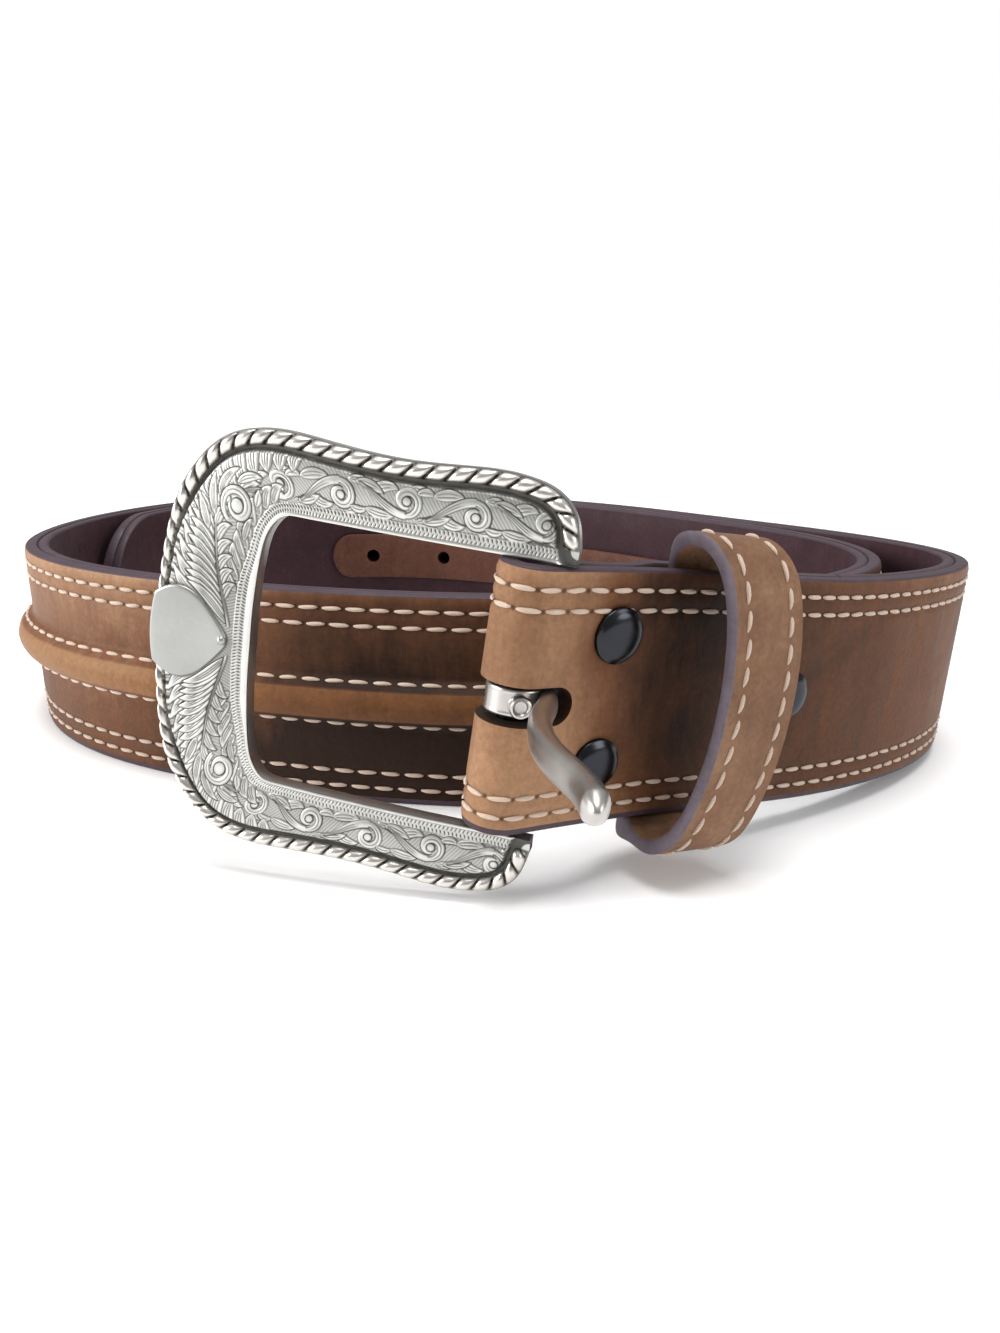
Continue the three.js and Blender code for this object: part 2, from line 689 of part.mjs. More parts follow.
function prong() {
  const curl = new THREE.LatheGeometry(
    [
      new THREE.Vector2(CURL.inner, -CURL.height / 2),
      new THREE.Vector2(CURL.outer, -CURL.height / 2),
      new THREE.Vector2(CURL.outer, CURL.height / 2),
      new THREE.Vector2(CURL.inner, CURL.height / 2),
      new THREE.Vector2(CURL.inner, -CURL.height / 2),
    ],
    16,
  );
  const section = [];
  const sides = 8;
  for (let i = 0; i < sides; i++) {
    const turn = (2 * Math.PI * i) / sides;
    section.push([Math.cos(turn), Math.sin(turn)]);
  }
  const place = (row, side, height) =>
    new THREE.Vector3(-row.across, side * row.wide, row.face + height * row.thick);
  const solid = toSolid(curl).add(toSolid(loft(section, PRONG, place)));
  const mesh = named('prong', toGeometry(solid), 'prong');
  mesh.rotation.set(0, radians(PRONG_SWING_DEG), radians(-PRONG_RISE_DEG));
  return mesh;
}

const belt = new THREE.Group();
belt.add(outerLeather(), lining(), centreRidge(), holeBacking(), keeper());
for (const row of SCREWS) {
  belt.add(screw(row));
}
const onBar = new THREE.Group();
onBar.setRotationFromMatrix(barMatrix());
onBar.position.copy(barCentre);
onBar.add(buckleFrame(), prong());
belt.add(onBar);

export default belt;
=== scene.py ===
import math

import bmesh
import bpy
import numpy as np
from mathutils import Matrix, Vector


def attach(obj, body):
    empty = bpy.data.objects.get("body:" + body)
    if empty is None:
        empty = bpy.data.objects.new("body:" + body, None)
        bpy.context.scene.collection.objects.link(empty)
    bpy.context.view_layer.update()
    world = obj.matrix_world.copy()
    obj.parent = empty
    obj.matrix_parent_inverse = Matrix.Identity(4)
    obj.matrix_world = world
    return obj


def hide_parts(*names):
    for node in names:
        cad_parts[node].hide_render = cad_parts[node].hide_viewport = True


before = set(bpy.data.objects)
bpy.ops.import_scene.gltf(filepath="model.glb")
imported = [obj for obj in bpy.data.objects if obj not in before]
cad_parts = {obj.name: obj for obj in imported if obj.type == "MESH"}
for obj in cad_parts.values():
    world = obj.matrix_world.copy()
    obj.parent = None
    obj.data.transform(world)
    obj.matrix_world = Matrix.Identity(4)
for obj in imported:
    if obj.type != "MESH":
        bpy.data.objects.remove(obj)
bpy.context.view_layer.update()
MM = 0.001

# Strap, in millimetres
STRAP_WIDTH = 39.1
MID = STRAP_WIDTH / 2
LEATHER = 2.6
LINING = 2.1
GAP = 0.3
TIP_ROUNDING = 20.0
TIP_FLAT = 2.5
BAR_RADIUS = 2.0
BAR_CLEARANCE = 0.35
FOLD_RADIUS = BAR_RADIUS + BAR_CLEARANCE + LEATHER
TAB_LENGTH = 61.0
SLOT_HEIGHT = 5.8
SLOT_END = 6.6
# Screws: place along and up the strap
SCREWS = ((12.7, 10.2), (12.7, -9.6), (50.8, 0.0))
KEEPER_ALONG = 32.7
KEEPER_WIDTH = 14.0
KEEPER_LOWER = 0.93
KEEPER_SLANT = -0.022
KEEPER_SWEEP = 0.0055
KEEPER_ROW = 4.25
KEEPER_REAR = -3.05
KEEPER_SHOULDER = 0.93
HOLE_FIRST = 104.0
HOLE_PITCH = 25.4
HOLE_COUNT = 7
HOLE_RADIUS = 2.05
BACKING_FROM_TIP = 89.5
BACKING_LENGTH = 181.0
BACKING_HEIGHT = 14.0
BACKING_THICK = 1.2
RIDGE_START = 235.0
RIDGE_END = 700.0
RIDGE_HEIGHT = 3.9
RIDGE_TAPER = 14.0
RIDGE_REACH = 6.7
RIDGE_PAD = 2.7
ROW_OUTER = 2.9
ROW_INNER = 5.85
RIDGE_ROW = 3.95
FOLD_ARC = math.pi * FOLD_RADIUS

# Stitches, in millimetres and radians
STITCH_WIDTH = 0.8
STITCH_HEIGHT = 0.36
STITCH_SUNK = 0.06
STITCH_SLANT = 0.05
RIDGE_STITCH = 3.6
RIDGE_ROW_TILT = 0.75
FOLD_STITCH = 3.4
KEEPER_STITCH = 3.2
KEEPER_PITCH = 4.0
# Length of a stitch as a share of its pitch, and the inner row's shift in stitches
STITCH_SHARE = 0.83
INNER_ROW_SHIFT = 0.3
# Stitch pitch by strap length
PITCHES = ((-90, 4.4), (0, 4.2), (40, 3.9), (62, 3.7), (125, 3.7), (200, 4.4), (1300, 4.4))

# Buckle: how far it bows out, over which width, and how it and the prong hang from the bar
BOW = 1.5
BOW_SPAN = 57.0
FRAME_SWING = math.radians(-47.8)
FRAME_PLAY_UP = -0.3
PRONG_SWING = math.radians(60.0)
PRONG_RISE = math.radians(4.0)
ROPE_PITCH = 2.95
ROPE_SLANT = 0.85
ROPE_INSET = 0.12
SHIELD_MIDDLE = 50.3
BALL_ACROSS = 43.9
BALL_RADIUS = 0.75

# Middle of the coil in the figures below, which comes to stand over the origin
CENTRE = (-1.35, 3.57)

# The strap's grain face from bar to tip: x, y, lift of the lower edge, outward lean in degrees
COIL = (
    (11.6, -82.1, 12.3, 5.0),
    (35.8, -66.3, 9.0, 4.8),
    (59.7, -51.6, 5.2, 4.4),
    (79.3, -37.7, 3.2, 4.0),
    (93.5, -23.1, 2.0, 3.6),
    (102.3, -7.4, 1.2, 3.0),
    (104.4, 10.8, 0.5, 2.2),
    (99.0, 28.6, 0.1, 1.2),
    (88.2, 44.8, 0, 0.4),
    (72.0, 62.6, 0, 0),
    (49.2, 86.2, 0, 0),
    (22.8, 106.0, 0, 0),
    (-7.2, 120.2, 0, 0),
    (-39.6, 122.8, 0, 0),
    (-68.2, 111.4, 0, 0),
    (-90.0, 89.2, 0, 0),
    (-101.6, 61.3, 0, 0.6),
    (-103.9, 33.4, 0, 1.5),
    (-97.8, 7.4, 0, 1.5),
    (-80.5, -15.1, 0, 0.6),
    (-52.7, -31.5, 0, 0),
    (-19.2, -41.5, 0, 0),
    (15.6, -44.0, 0, 0),
    (46.8, -37.6, 0, 0),
    (71.2, -24.1, 0, 0),
    (85.4, -7.5, 0, 0),
    (89.8, 11.8, 0, 0),
    (86.0, 29.6, 0, 0),
    (77.0, 45.4, 0, 0),
    (63.0, 62.6, 0, 0),
    (42.0, 84.4, 0, 0),
    (15.2, 103.6, 0, 0),
    (-15.6, 115.6, 0, 0),
    (-45.8, 115.2, 0, 0),
    (-71.0, 101.4, 0, 0),
    (-87.2, 79.8, 0, 0),
    (-97.4, 44.5, 0, 0),
)

# Depth of the tab's middle behind the grain face, by strap length
TAB_DEPTH = (
    (0, 8.6),
    (3.5, 7.6),
    (7, 5.2),
    (9.2, 4.3),
    (16.2, 4.3),
    (21.4, 6.6),
    (31, 6.7),
    (41, 6.6),
    (46.6, 4.3),
    (53, 4.2),
    (61, 4.2),
)

# Buckle band from the bar's end to the middle of the far side: inner across and up, outer across and up
BAND = (
    (-5.9, 20.2, -6.0, 22.3),
    (-4.5, 20.2, -5.2, 25.9),
    (-2.2, 20.2, -2.8, 29.0),
    (1.0, 20.2, 1.2, 30.6),
    (5.3, 20.2, 5.7, 31.1),
    (11.6, 20.2, 11.8, 30.8),
    (18.0, 20.2, 18.4, 30.4),
    (24.3, 20.2, 25.4, 30.6),
    (29.6, 20.2, 32.2, 31.2),
    (33.1, 20.2, 38.1, 31.5),
    (35.3, 20.0, 43.1, 30.7),
    (36.9, 18.8, 47.4, 28.4),
    (38.1, 16.6, 50.6, 24.9),
    (38.8, 13.0, 53.1, 20.6),
    (39.2, 8.6, 54.8, 13.8),
    (39.4, 4.2, 55.6, 6.8),
    (39.4, 0.0, 55.9, 0.0),
)
# Upper half of the shield's edge, from the outside to its point: across, up
SHIELD = ((55.2, 5.4), (52.4, 6.9), (49.5, 6.7), (46.9, 5.0), (44.6, 2.5), (43.2, 0.0))
# Prong: across, height on the face side, half width, half thickness
PRONG = (
    (-1.4, 2.9, 2.0, 0.8),
    (0.6, 4.2, 2.1, 1.2),
    (2.6, 4.6, 2.1, 1.4),
    (5.2, 4.1, 2.1, 1.5),
    (10.0, 2.9, 2.1, 1.6),
    (16.0, 2.1, 2.1, 1.6),
    (21.5, 2.0, 2.1, 1.6),
    (27.0, 2.7, 2.1, 1.6),
    (32.0, 3.9, 2.1, 1.6),
    (37.0, 5.0, 2.1, 1.6),
    (41.0, 5.2, 1.9, 1.5),
    (42.7, 5.1, 1.0, 0.8),
)
CURL_INNER = 2.5
CURL_OUTER = 4.1
CURL_HEIGHT = 4.2
CURL_ROUND = 0.5


# Curves


def natural_spline(knots, values):
    """Natural cubic spline through values at rising knots, for arrays of places."""
    knots = np.asarray(knots, float)
    values = np.asarray(values, float)
    n = len(knots)
    step = np.diff(knots)
    matrix = np.eye(n)
    right = np.zeros(n)
    for i in range(1, n - 1):
        matrix[i, i - 1] = step[i - 1]
        matrix[i, i] = 2 * (step[i - 1] + step[i])
        matrix[i, i + 1] = step[i]
        right[i] = 6 * ((values[i + 1] - values[i]) / step[i] - (values[i] - values[i - 1]) / step[i - 1])
    second = np.linalg.solve(matrix, right)

    def at(places):
        places = np.asarray(places, float)
        i = np.clip(np.searchsorted(knots, places, side="right") - 1, 0, n - 2)
        span = step[i]
        b = (places - knots[i]) / span
        a = 1 - b
        curve = (a**3 - a) * second[i] + (b**3 - b) * second[i + 1]
        return a * values[i] + b * values[i + 1] + curve * span**2 / 6

    return at


def unit(v):
    return v / np.linalg.norm(v, axis=-1, keepdims=True)


def line_lengths(points):
    """Length of a line from its start to each of its points."""
    return np.concatenate(([0], np.cumsum(np.linalg.norm(np.diff(points, axis=0), axis=1))))


class Coil:
    """The strap's line by its length from the bar."""

    def __init__(self):
        rows = np.array(COIL, float)
        rows[:, 0] -= CENTRE[0]
        rows[:, 1] -= CENTRE[1]
        knots = line_lengths(rows[:, :2])
        self.x, self.y, self.lift, self.lean = (natural_spline(knots, rows[:, k]) for k in range(4))
        self.end = knots[-1]
        self.places = np.linspace(0, self.end, 4001)
        line = np.stack([self.x(self.places), self.y(self.places), self.lift(self.places)], 1)
        self.lengths = line_lengths(line)
        self.length = self.lengths[-1]

    def point(self, u):
        lean = np.radians(self.lean(u))
        height = np.maximum(self.lift(u), 0) + MID * np.cos(lean)
        return np.stack([self.x(u), self.y(u), height], -1)

    def frame(self, length):
        """Point on the grain face at half width, with the directions along, up and out of it."""
        u = np.clip(np.interp(length, self.lengths, self.places), 0, self.end)
        reach = 0.25
        along = unit(self.point(np.minimum(u + reach, self.end)) - self.point(np.maximum(u - reach, 0)))
        level = unit(np.stack([along[..., 1], -along[..., 0], np.zeros_like(along[..., 0])], -1))
        upright = np.cross(level, along)
        lean = np.radians(np.maximum(self.lean(u), 0))[..., None]
        up = upright * np.cos(lean) + level * np.sin(lean)
        out = level * np.cos(lean) - upright * np.sin(lean)
        return self.point(u), along, up, out

    def on(self, length, out, above):
        """Points at a distance out of the grain face and above its middle."""
        point, _, up, outward = self.frame(np.asarray(length, float))
        return point + outward * np.asarray(out, float)[..., None] + up * np.asarray(above, float)[..., None]


coil = Coil()
STRAP_LENGTH = coil.length


def half_height(length):
    """Half the strap's width at a length, rounded off at the tip."""
    into = np.clip((np.asarray(length, float) - (STRAP_LENGTH - TIP_ROUNDING)) / TIP_ROUNDING, 0, 1)
    flat = TIP_FLAT * np.sqrt(np.clip((1 - into) / 0.02, 0, 1)) + 0.02
    return np.maximum(MID * np.sqrt(1 - into**2), flat)


_, BAR_ALONG, BAR_UP, BAR_OUT = coil.frame(np.array(0.0))
BAR_POINT = coil.on(0.0, -FOLD_RADIUS, 0.0)


# Mesh helpers


def plain_uv(u, v):
    return np.stack([u, v], -1)


def grid(name, n_u, n_v, place, closed_v=True, closed_u=False, caps=True, uv=plain_uv, sharp=40):
    """A grid wrapped into a tube or sheet: place(u, v) takes arrays from 0 to 1 and gives points in mm."""
    bm = bmesh.new()
    bmesh.ops.create_grid(bm, x_segments=n_u, y_segments=n_v, size=0.5)
    bm.verts.ensure_lookup_table()
    flat = np.array([v.co[:] for v in bm.verts])
    u = np.round((flat[:, 0] + 0.5) * n_u) / n_u
    v = np.round((flat[:, 1] + 0.5) * n_v) / n_v
    points = np.asarray(place(u, v)) * MM
    layer = bm.loops.layers.uv.new("place")
    coords = np.asarray(uv(u, v), float)
    for face in bm.faces:
        for loop in face.loops:
            loop[layer].uv = coords[loop.vert.index]
    for vert, point in zip(bm.verts, points):
        vert.co = point
    if closed_v or closed_u:
        bmesh.ops.remove_doubles(bm, verts=bm.verts, dist=1e-7)
    if caps and closed_v and not closed_u:
        rims = [e for e in bm.edges if e.is_boundary]
        bmesh.ops.holes_fill(bm, edges=rims, sides=0)
    bmesh.ops.recalc_face_normals(bm, faces=bm.faces)
    return finish_mesh(name, bm, sharp)


def finish_mesh(name, bm, sharp=40):
    """The bmesh as a piece at the origin, smooth up to the sharp angle in degrees."""
    mesh = bpy.data.meshes.new(name)
    bm.to_mesh(mesh)
    bm.free()
    obj = bpy.data.objects.new(name, mesh)
    bpy.context.scene.collection.objects.link(obj)
    smooth(obj, sharp)
    return obj


def smooth(obj, sharp=40):
    mesh = obj.data
    mesh.polygons.foreach_set("use_smooth", np.ones(len(mesh.polygons), bool))
    mesh.set_sharp_from_angle(angle=math.radians(sharp))
    mesh.update()


def profile_closed(points):
    """Function that gives points by a share from 0 to 1 round a closed outline, and the outline's length."""
    points = np.array(list(points) + [points[0]], float)
    share = np.linspace(0, 1, len(points))

    def at(v):
        v = np.asarray(v)
        return np.stack([np.interp(v, share, points[:, k]) for k in range(points.shape[1])], -1)

    return at, len(points) - 1


def apply_cut(obj, cutters):
    """Takes the cutters out of obj and removes them."""
    for cutter in cutters:
        mod = obj.modifiers.new("cut", "BOOLEAN")
        mod.object = cutter
        mod.operation = "DIFFERENCE"
        mod.solver = "EXACT"
    bpy.context.view_layer.update()
    made = bpy.data.meshes.new_from_object(obj.evaluated_get(bpy.context.evaluated_depsgraph_get()))
    obj.modifiers.clear()
    obj.data = made
    made.name = obj.name
    for cutter in cutters:
        bpy.data.objects.remove(cutter, do_unlink=True)
    smooth(obj)


def cylinder(name, radius, depth, matrix, segments=32):
    bm = bmesh.new()
    bmesh.ops.create_cone(
        bm, cap_ends=True, segments=segments, radius1=radius * MM, radius2=radius * MM, depth=depth * MM
    )
    bmesh.ops.transform(bm, matrix=matrix, verts=bm.verts)
    return finish_mesh(name, bm, 30)


def strap_matrix(length, out, above):
    """Frame on the strap: x along it, y up it, z out of its grain face."""
    _, along, up, outward = coil.frame(np.array(float(length)))
    at = coil.on(float(length), out, above) * MM
    rot = Matrix((along, up, outward)).transposed().to_4x4()
    return Matrix.Translation(Vector(at)) @ rot


def bar_matrix():
    """Frame on the buckle's bar: x along the strap, y up the bar, z out of the strap."""
    rot = Matrix((BAR_ALONG, BAR_UP, BAR_OUT)).transposed().to_4x4()
    return Matrix.Translation(Vector(BAR_POINT * MM)) @ rot


def frame_matrix():
    """Frame of the buckle as it hangs from the bar."""
    play = Matrix.Translation((0, FRAME_PLAY_UP * MM, 0))
    return bar_matrix() @ play @ Matrix.Rotation(FRAME_SWING, 4, "Y")


def prong_matrix():
    """Frame of the prong as it hangs from the bar."""
    swing = Matrix.Rotation(PRONG_SWING, 4, "Y")
    return bar_matrix() @ swing @ Matrix.Rotation(-PRONG_RISE, 4, "Z")


def moved(points, matrix):
    """Points in millimetres, taken from a part's own frame to the scene's."""
    m = np.array(matrix)
    return points @ m[:3, :3].T + m[:3, 3] / MM


# Materials


def link(tree, a, b):
    tree.links.new(a, b)


def new_material(name):
    material = bpy.data.materials.new(name)
    material.use_nodes = True
    tree = material.node_tree
    shader = next(n for n in tree.nodes if n.type == "BSDF_PRINCIPLED")
    return material, tree, shader


def node(tree, kind, **values):
    """A node with its settings and inputs; a value may be another node's output."""
    n = tree.nodes.new(kind)
    for key, value in values.items():
        if hasattr(n, key):
            setattr(n, key, value)
        elif isinstance(value, bpy.types.NodeSocket):
            link(tree, value, n.inputs[key.replace("_", " ")])
        else:
            n.inputs[key.replace("_", " ")].default_value = value
    return n


def math_node(tree, op, a, b=None, clamp=False):
    n = tree.nodes.new("ShaderNodeMath")
    n.operation = op
    n.use_clamp = clamp
    for i, value in enumerate((a, b)):
        if value is None:
            continue
        if isinstance(value, (int, float)):
            n.inputs[i].default_value = value
        else:
            link(tree, value, n.inputs[i])
    return n.outputs[0]


def mix_colour(tree, factor, a, b, blend="MIX"):
    """Mixes two colours, each a tuple or another node's output."""
    n = tree.nodes.new("ShaderNodeMix")
    n.data_type = "RGBA"
    n.blend_type = blend
    for socket, value in ((n.inputs[0], factor), (n.inputs[6], a), (n.inputs[7], b)):
        if isinstance(value, (int, float)):
            socket.default_value = value
        elif isinstance(value, tuple):
            socket.default_value = (*value, 1) if len(value) == 3 else value
        else:
            link(tree, value, socket)
    return n.outputs[2]


def map_range(tree, value, start, end, low=0.0, high=1.0):
    """A value taken from the range start to end into the range low to high."""
    ends = {"From_Min": start, "From_Max": end, "To_Min": low, "To_Max": high}
    return node(tree, "ShaderNodeMapRange", Value=value, **ends).outputs["Result"]


def object_coords(tree):
    return tree.nodes.new("ShaderNodeTexCoord").outputs["Object"]


def noise(tree, coords, scale, detail, **values):
    n = node(tree, "ShaderNodeTexNoise", Vector=coords, Scale=scale, Detail=detail, **values)
    return n.outputs["Fac"]


def map_values(tree, name):
    """The two values that one of the piece's maps holds at each point."""
    uv = node(tree, "ShaderNodeUVMap", uv_map=name)
    split = node(tree, "ShaderNodeSeparateXYZ", Vector=uv.outputs["UV"])
    return split.outputs["X"], split.outputs["Y"]


def relief(tree, shader, height, strength, distance):
    """Bumps the surface by a height."""
    bump = node(tree, "ShaderNodeBump", Strength=strength, Distance=distance, Height=height)
    link(tree, bump.outputs["Normal"], shader.inputs["Normal"])


def new_group(name, inputs, outputs):
    """A shader node group with its inputs and outputs, and the sockets of its two end nodes."""
    group = bpy.data.node_groups.new(name, "ShaderNodeTree")
    for label, value in inputs.items():
        kind = "NodeSocketColor" if isinstance(value, tuple) else "NodeSocketFloat"
        group.interface.new_socket(label, in_out="INPUT", socket_type=kind).default_value = value
    for label in outputs:
        kind = "NodeSocketColor" if label == "Colour" else "NodeSocketFloat"
        group.interface.new_socket(label, in_out="OUTPUT", socket_type=kind)
    return group, group.nodes.new("NodeGroupInput").outputs, group.nodes.new("NodeGroupOutput").inputs


def use_group(tree, group, **values):
    """The outputs of a group in a material, with its inputs set to values, colours or outputs."""
    n = tree.nodes.new("ShaderNodeGroup")
    n.node_tree = group
    for key, value in values.items():
        socket = n.inputs[key.replace("_", " ")]
        if isinstance(value, bpy.types.NodeSocket):
            link(tree, value, socket)
        else:
            socket.default_value = (*value, 1) if isinstance(value, tuple) else value
    return n.outputs


def leather_group():
    """Waxed leather: three tones by a tone value and mottling, upright streaks, grain and pores."""
    inputs = {
        "Dark": (0.1, 0.05, 0.03, 1),
        "Light": (0.3, 0.2, 0.1, 1),
        "Worn": (0.4, 0.25, 0.15, 1),
        "Tone": 0.3,
        "Mottle": 0.8,
        "Patch Scale": 45.0,
        "Grain Depth": 0.3,
    }
    group, inp, out = new_group("leather surface", inputs, ("Colour", "Roughness", "Height"))
    coords = object_coords(group)
    patch = noise(group, coords, inp["Patch Scale"], 6.0, Roughness=0.62, Distortion=0.5)
    upright = node(group, "ShaderNodeMapping", Vector=coords, Scale=(1.0, 1.0, 0.22))
    streak = noise(group, upright.outputs["Vector"], 420.0, 4.0, Roughness=0.6)
    fine = noise(group, coords, 1100.0, 3.0, Roughness=0.7)
    pores = node(group, "ShaderNodeTexVoronoi", Vector=coords, Scale=1300.0).outputs["Distance"]

    # tone from 0 to 1 runs from dark over light to worn
    uneven = math_node(group, "MULTIPLY", math_node(group, "SUBTRACT", patch, 0.5), inp["Mottle"])
    lined = math_node(group, "MULTIPLY", math_node(group, "SUBTRACT", streak, 0.5), 0.4)
    tone = math_node(group, "ADD", inp["Tone"], math_node(group, "ADD", uneven, lined))
    twice = math_node(group, "MULTIPLY", tone, 2.0)
    low = math_node(group, "MULTIPLY", tone, 2.0, clamp=True)
    high = math_node(group, "SUBTRACT", twice, 1.0, clamp=True)
    colour = mix_colour(group, low, inp["Dark"], inp["Light"])
    colour = mix_colour(group, high, colour, inp["Worn"])
    speck = map_range(group, fine, 0.3, 0.7, 0.84, 1.16)
    shade = node(group, "ShaderNodeCombineColor", Red=speck, Green=speck, Blue=speck)
    link(group, mix_colour(group, 1.0, colour, shade.outputs[0], "MULTIPLY"), out["Colour"])
    link(group, map_range(group, streak, 0.3, 0.7, 0.46, 0.66), out["Roughness"])

    height = math_node(group, "MULTIPLY", fine, 0.5)
    height = math_node(group, "ADD", height, math_node(group, "MULTIPLY", pores, 0.4))
    height = math_node(group, "ADD", height, math_node(group, "MULTIPLY", streak, 0.7))
    link(group, math_node(group, "MULTIPLY", height, inp["Grain Depth"]), out["Height"])
    return group


LEATHER_GROUP = leather_group()


# Needle holes, in centimetres: stitch pitch, outer and inner radius of the soft edge, and their strength
NEEDLE_PITCH = 0.42
NEEDLE_EDGE = 0.055
NEEDLE_CORE = 0.012
NEEDLE_STRENGTH = 0.7
# colour of the painted shade in the needle holes
NEEDLE_SHADE = (0.02, 0.009, 0.006)


def needle_hole_group():
    """Mask of small holes between the stitches of a row, from the stitch count and the height in centimetres;
    the leather paints them dark as the shade in the holes.
    """
    group, inp, out = new_group("needle holes", {"Count": 0.0, "Above": 0.0, "Row": 1.6}, ("Mask",))
    part = math_node(group, "FRACT", inp["Count"])
    along = math_node(group, "MULTIPLY", math_node(group, "SUBTRACT", part, 0.5), NEEDLE_PITCH)
    height = math_node(group, "ABSOLUTE", inp["Above"])
    across = math_node(group, "SUBTRACT", height, inp["Row"])
    squares = [math_node(group, "MULTIPLY", side, side) for side in (along, across)]
    away = math_node(group, "SQRT", math_node(group, "ADD", *squares))
    hole = node(
        group,
        "ShaderNodeMapRange",
        interpolation_type="SMOOTHSTEP",
        Value=away,
        From_Min=NEEDLE_EDGE,
        From_Max=NEEDLE_CORE,
        To_Max=NEEDLE_STRENGTH,
    )
    link(group, hole.outputs["Result"], out["Mask"])
    return group


NEEDLE_HOLES = needle_hole_group()


def leather(
    name,
    dark,
    light,
    worn,
    tone=0.3,
    mottle=0.8,
    patch=45.0,
    grain=0.3,
    gloss=0.12,
    tone_with_shade_by_map=False,
    rows=(),
):
    """Leather of one colour. The wear map may give its tone, painted shade included; rows are stitch rows in
    mm from the middle.
    """
    material, tree, shader = new_material(name)
    if tone_with_shade_by_map:
        tone, above = map_values(tree, "wear")
    surface = use_group(
        tree,
        LEATHER_GROUP,
        Dark=dark,
        Light=light,
        Worn=worn,
        Tone=tone,
        Mottle=mottle,
        Patch_Scale=patch,
        Grain_Depth=grain,
    )
    colour, height = surface["Colour"], surface["Height"]
    if rows:
        for row, count in zip(rows, map_values(tree, "count")):
            hole = use_group(tree, NEEDLE_HOLES, Count=count, Above=above, Row=row / 10)["Mask"]
            # painted shade in the needle holes
            colour = mix_colour(tree, hole, colour, NEEDLE_SHADE)
            height = math_node(tree, "SUBTRACT", height, hole)
    link(tree, colour, shader.inputs["Base Color"])
    link(tree, surface["Roughness"], shader.inputs["Roughness"])
    relief(tree, shader, height, 0.6, 0.0004)
    shader.inputs["Specular IOR Level"].default_value = gloss
    shader.inputs["Sheen Weight"].default_value = 0.03
    shader.inputs["Sheen Roughness"].default_value = 0.5
    return material


def metal_group():
    """Metal with cloudy tarnish over its colour, and fine marks that vary its gloss."""
    inputs = {
        "Clean": (0.6, 0.6, 0.6, 1),
        "Tarnished": (0.36, 0.36, 0.36, 1),
        "Cloud Scale": 120.0,
        "Cloud End": 0.75,
        "Mark Scale": 900.0,
        "Smoothest": 0.3,
        "Roughest": 0.4,
    }
    group, inp, out = new_group("metal surface", inputs, ("Colour", "Roughness", "Marks"))
    coords = object_coords(group)
    cloud = noise(group, coords, inp["Cloud Scale"], 4.0)
    tarnish = map_range(group, cloud, 0.35, inp["Cloud End"], 0.0, 0.35)
    link(group, mix_colour(group, tarnish, inp["Clean"], inp["Tarnished"]), out["Colour"])
    marks = noise(group, coords, inp["Mark Scale"], 3.0)
    gloss = map_range(group, marks, 0.0, 1.0, inp["Smoothest"], inp["Roughest"])
    link(group, gloss, out["Roughness"])
    link(group, marks, out["Marks"])
    return group


METAL_GROUP = metal_group()


def metal(name, colour, roughness, scratch=0.05, depth=0.15, scale=900.0):
    """Polished or brushed metal with faint tarnish and fine marks."""
    material, tree, shader = new_material(name)
    surface = use_group(
        tree,
        METAL_GROUP,
        Clean=colour,
        Tarnished=tuple(c * 0.6 for c in colour),
        Mark_Scale=scale,
        Smoothest=roughness - scratch,
        Roughest=roughness + scratch,
    )
    link(tree, surface["Colour"], shader.inputs["Base Color"])
    link(tree, surface["Roughness"], shader.inputs["Roughness"])
    relief(tree, shader, surface["Marks"], depth, 0.0001)
    shader.inputs["Metallic"].default_value = 1.0
    return material


def engraved_silver():
    """Antique silver, darkened in its cuts and by painted shade at the rope's groove and round the shield,
    from the wear map.
    """
    material, tree, shader = new_material("engraved silver")
    surface = use_group(
        tree,
        METAL_GROUP,
        Clean=(0.66, 0.655, 0.625),
        Tarnished=(0.43, 0.43, 0.4),
        Cloud_Scale=260.0,
        Cloud_End=0.7,
        Mark_Scale=1400.0,
    )
    cuts, _ = map_values(tree, "wear")
    colour = mix_colour(tree, cuts, surface["Colour"], (0.06, 0.058, 0.052))
    link(tree, colour, shader.inputs["Base Color"])
    link(tree, map_range(tree, cuts, 0.0, 1.0, 0.4, 0.65), shader.inputs["Roughness"])
    relief(tree, shader, surface["Marks"], 0.25, 0.00015)
    shader.inputs["Metallic"].default_value = 1.0
    return material


def rope_silver():
    """Bright beads with dark gaps, told apart by the height that the place map holds."""
    material, tree, shader = new_material("rope silver")
    height, _ = map_values(tree, "place")
    crown = map_range(tree, height, 0.25, 0.85)
    link(tree, mix_colour(tree, crown, (0.07, 0.06, 0.05), (0.66, 0.63, 0.59)), shader.inputs["Base Color"])
    surface = use_group(tree, METAL_GROUP, Mark_Scale=700.0, Smoothest=0.22, Roughest=0.42)
    link(tree, surface["Roughness"], shader.inputs["Roughness"])
    relief(tree, shader, surface["Marks"], 0.25, 0.0002)
    shader.inputs["Metallic"].default_value = 1.0
    return material


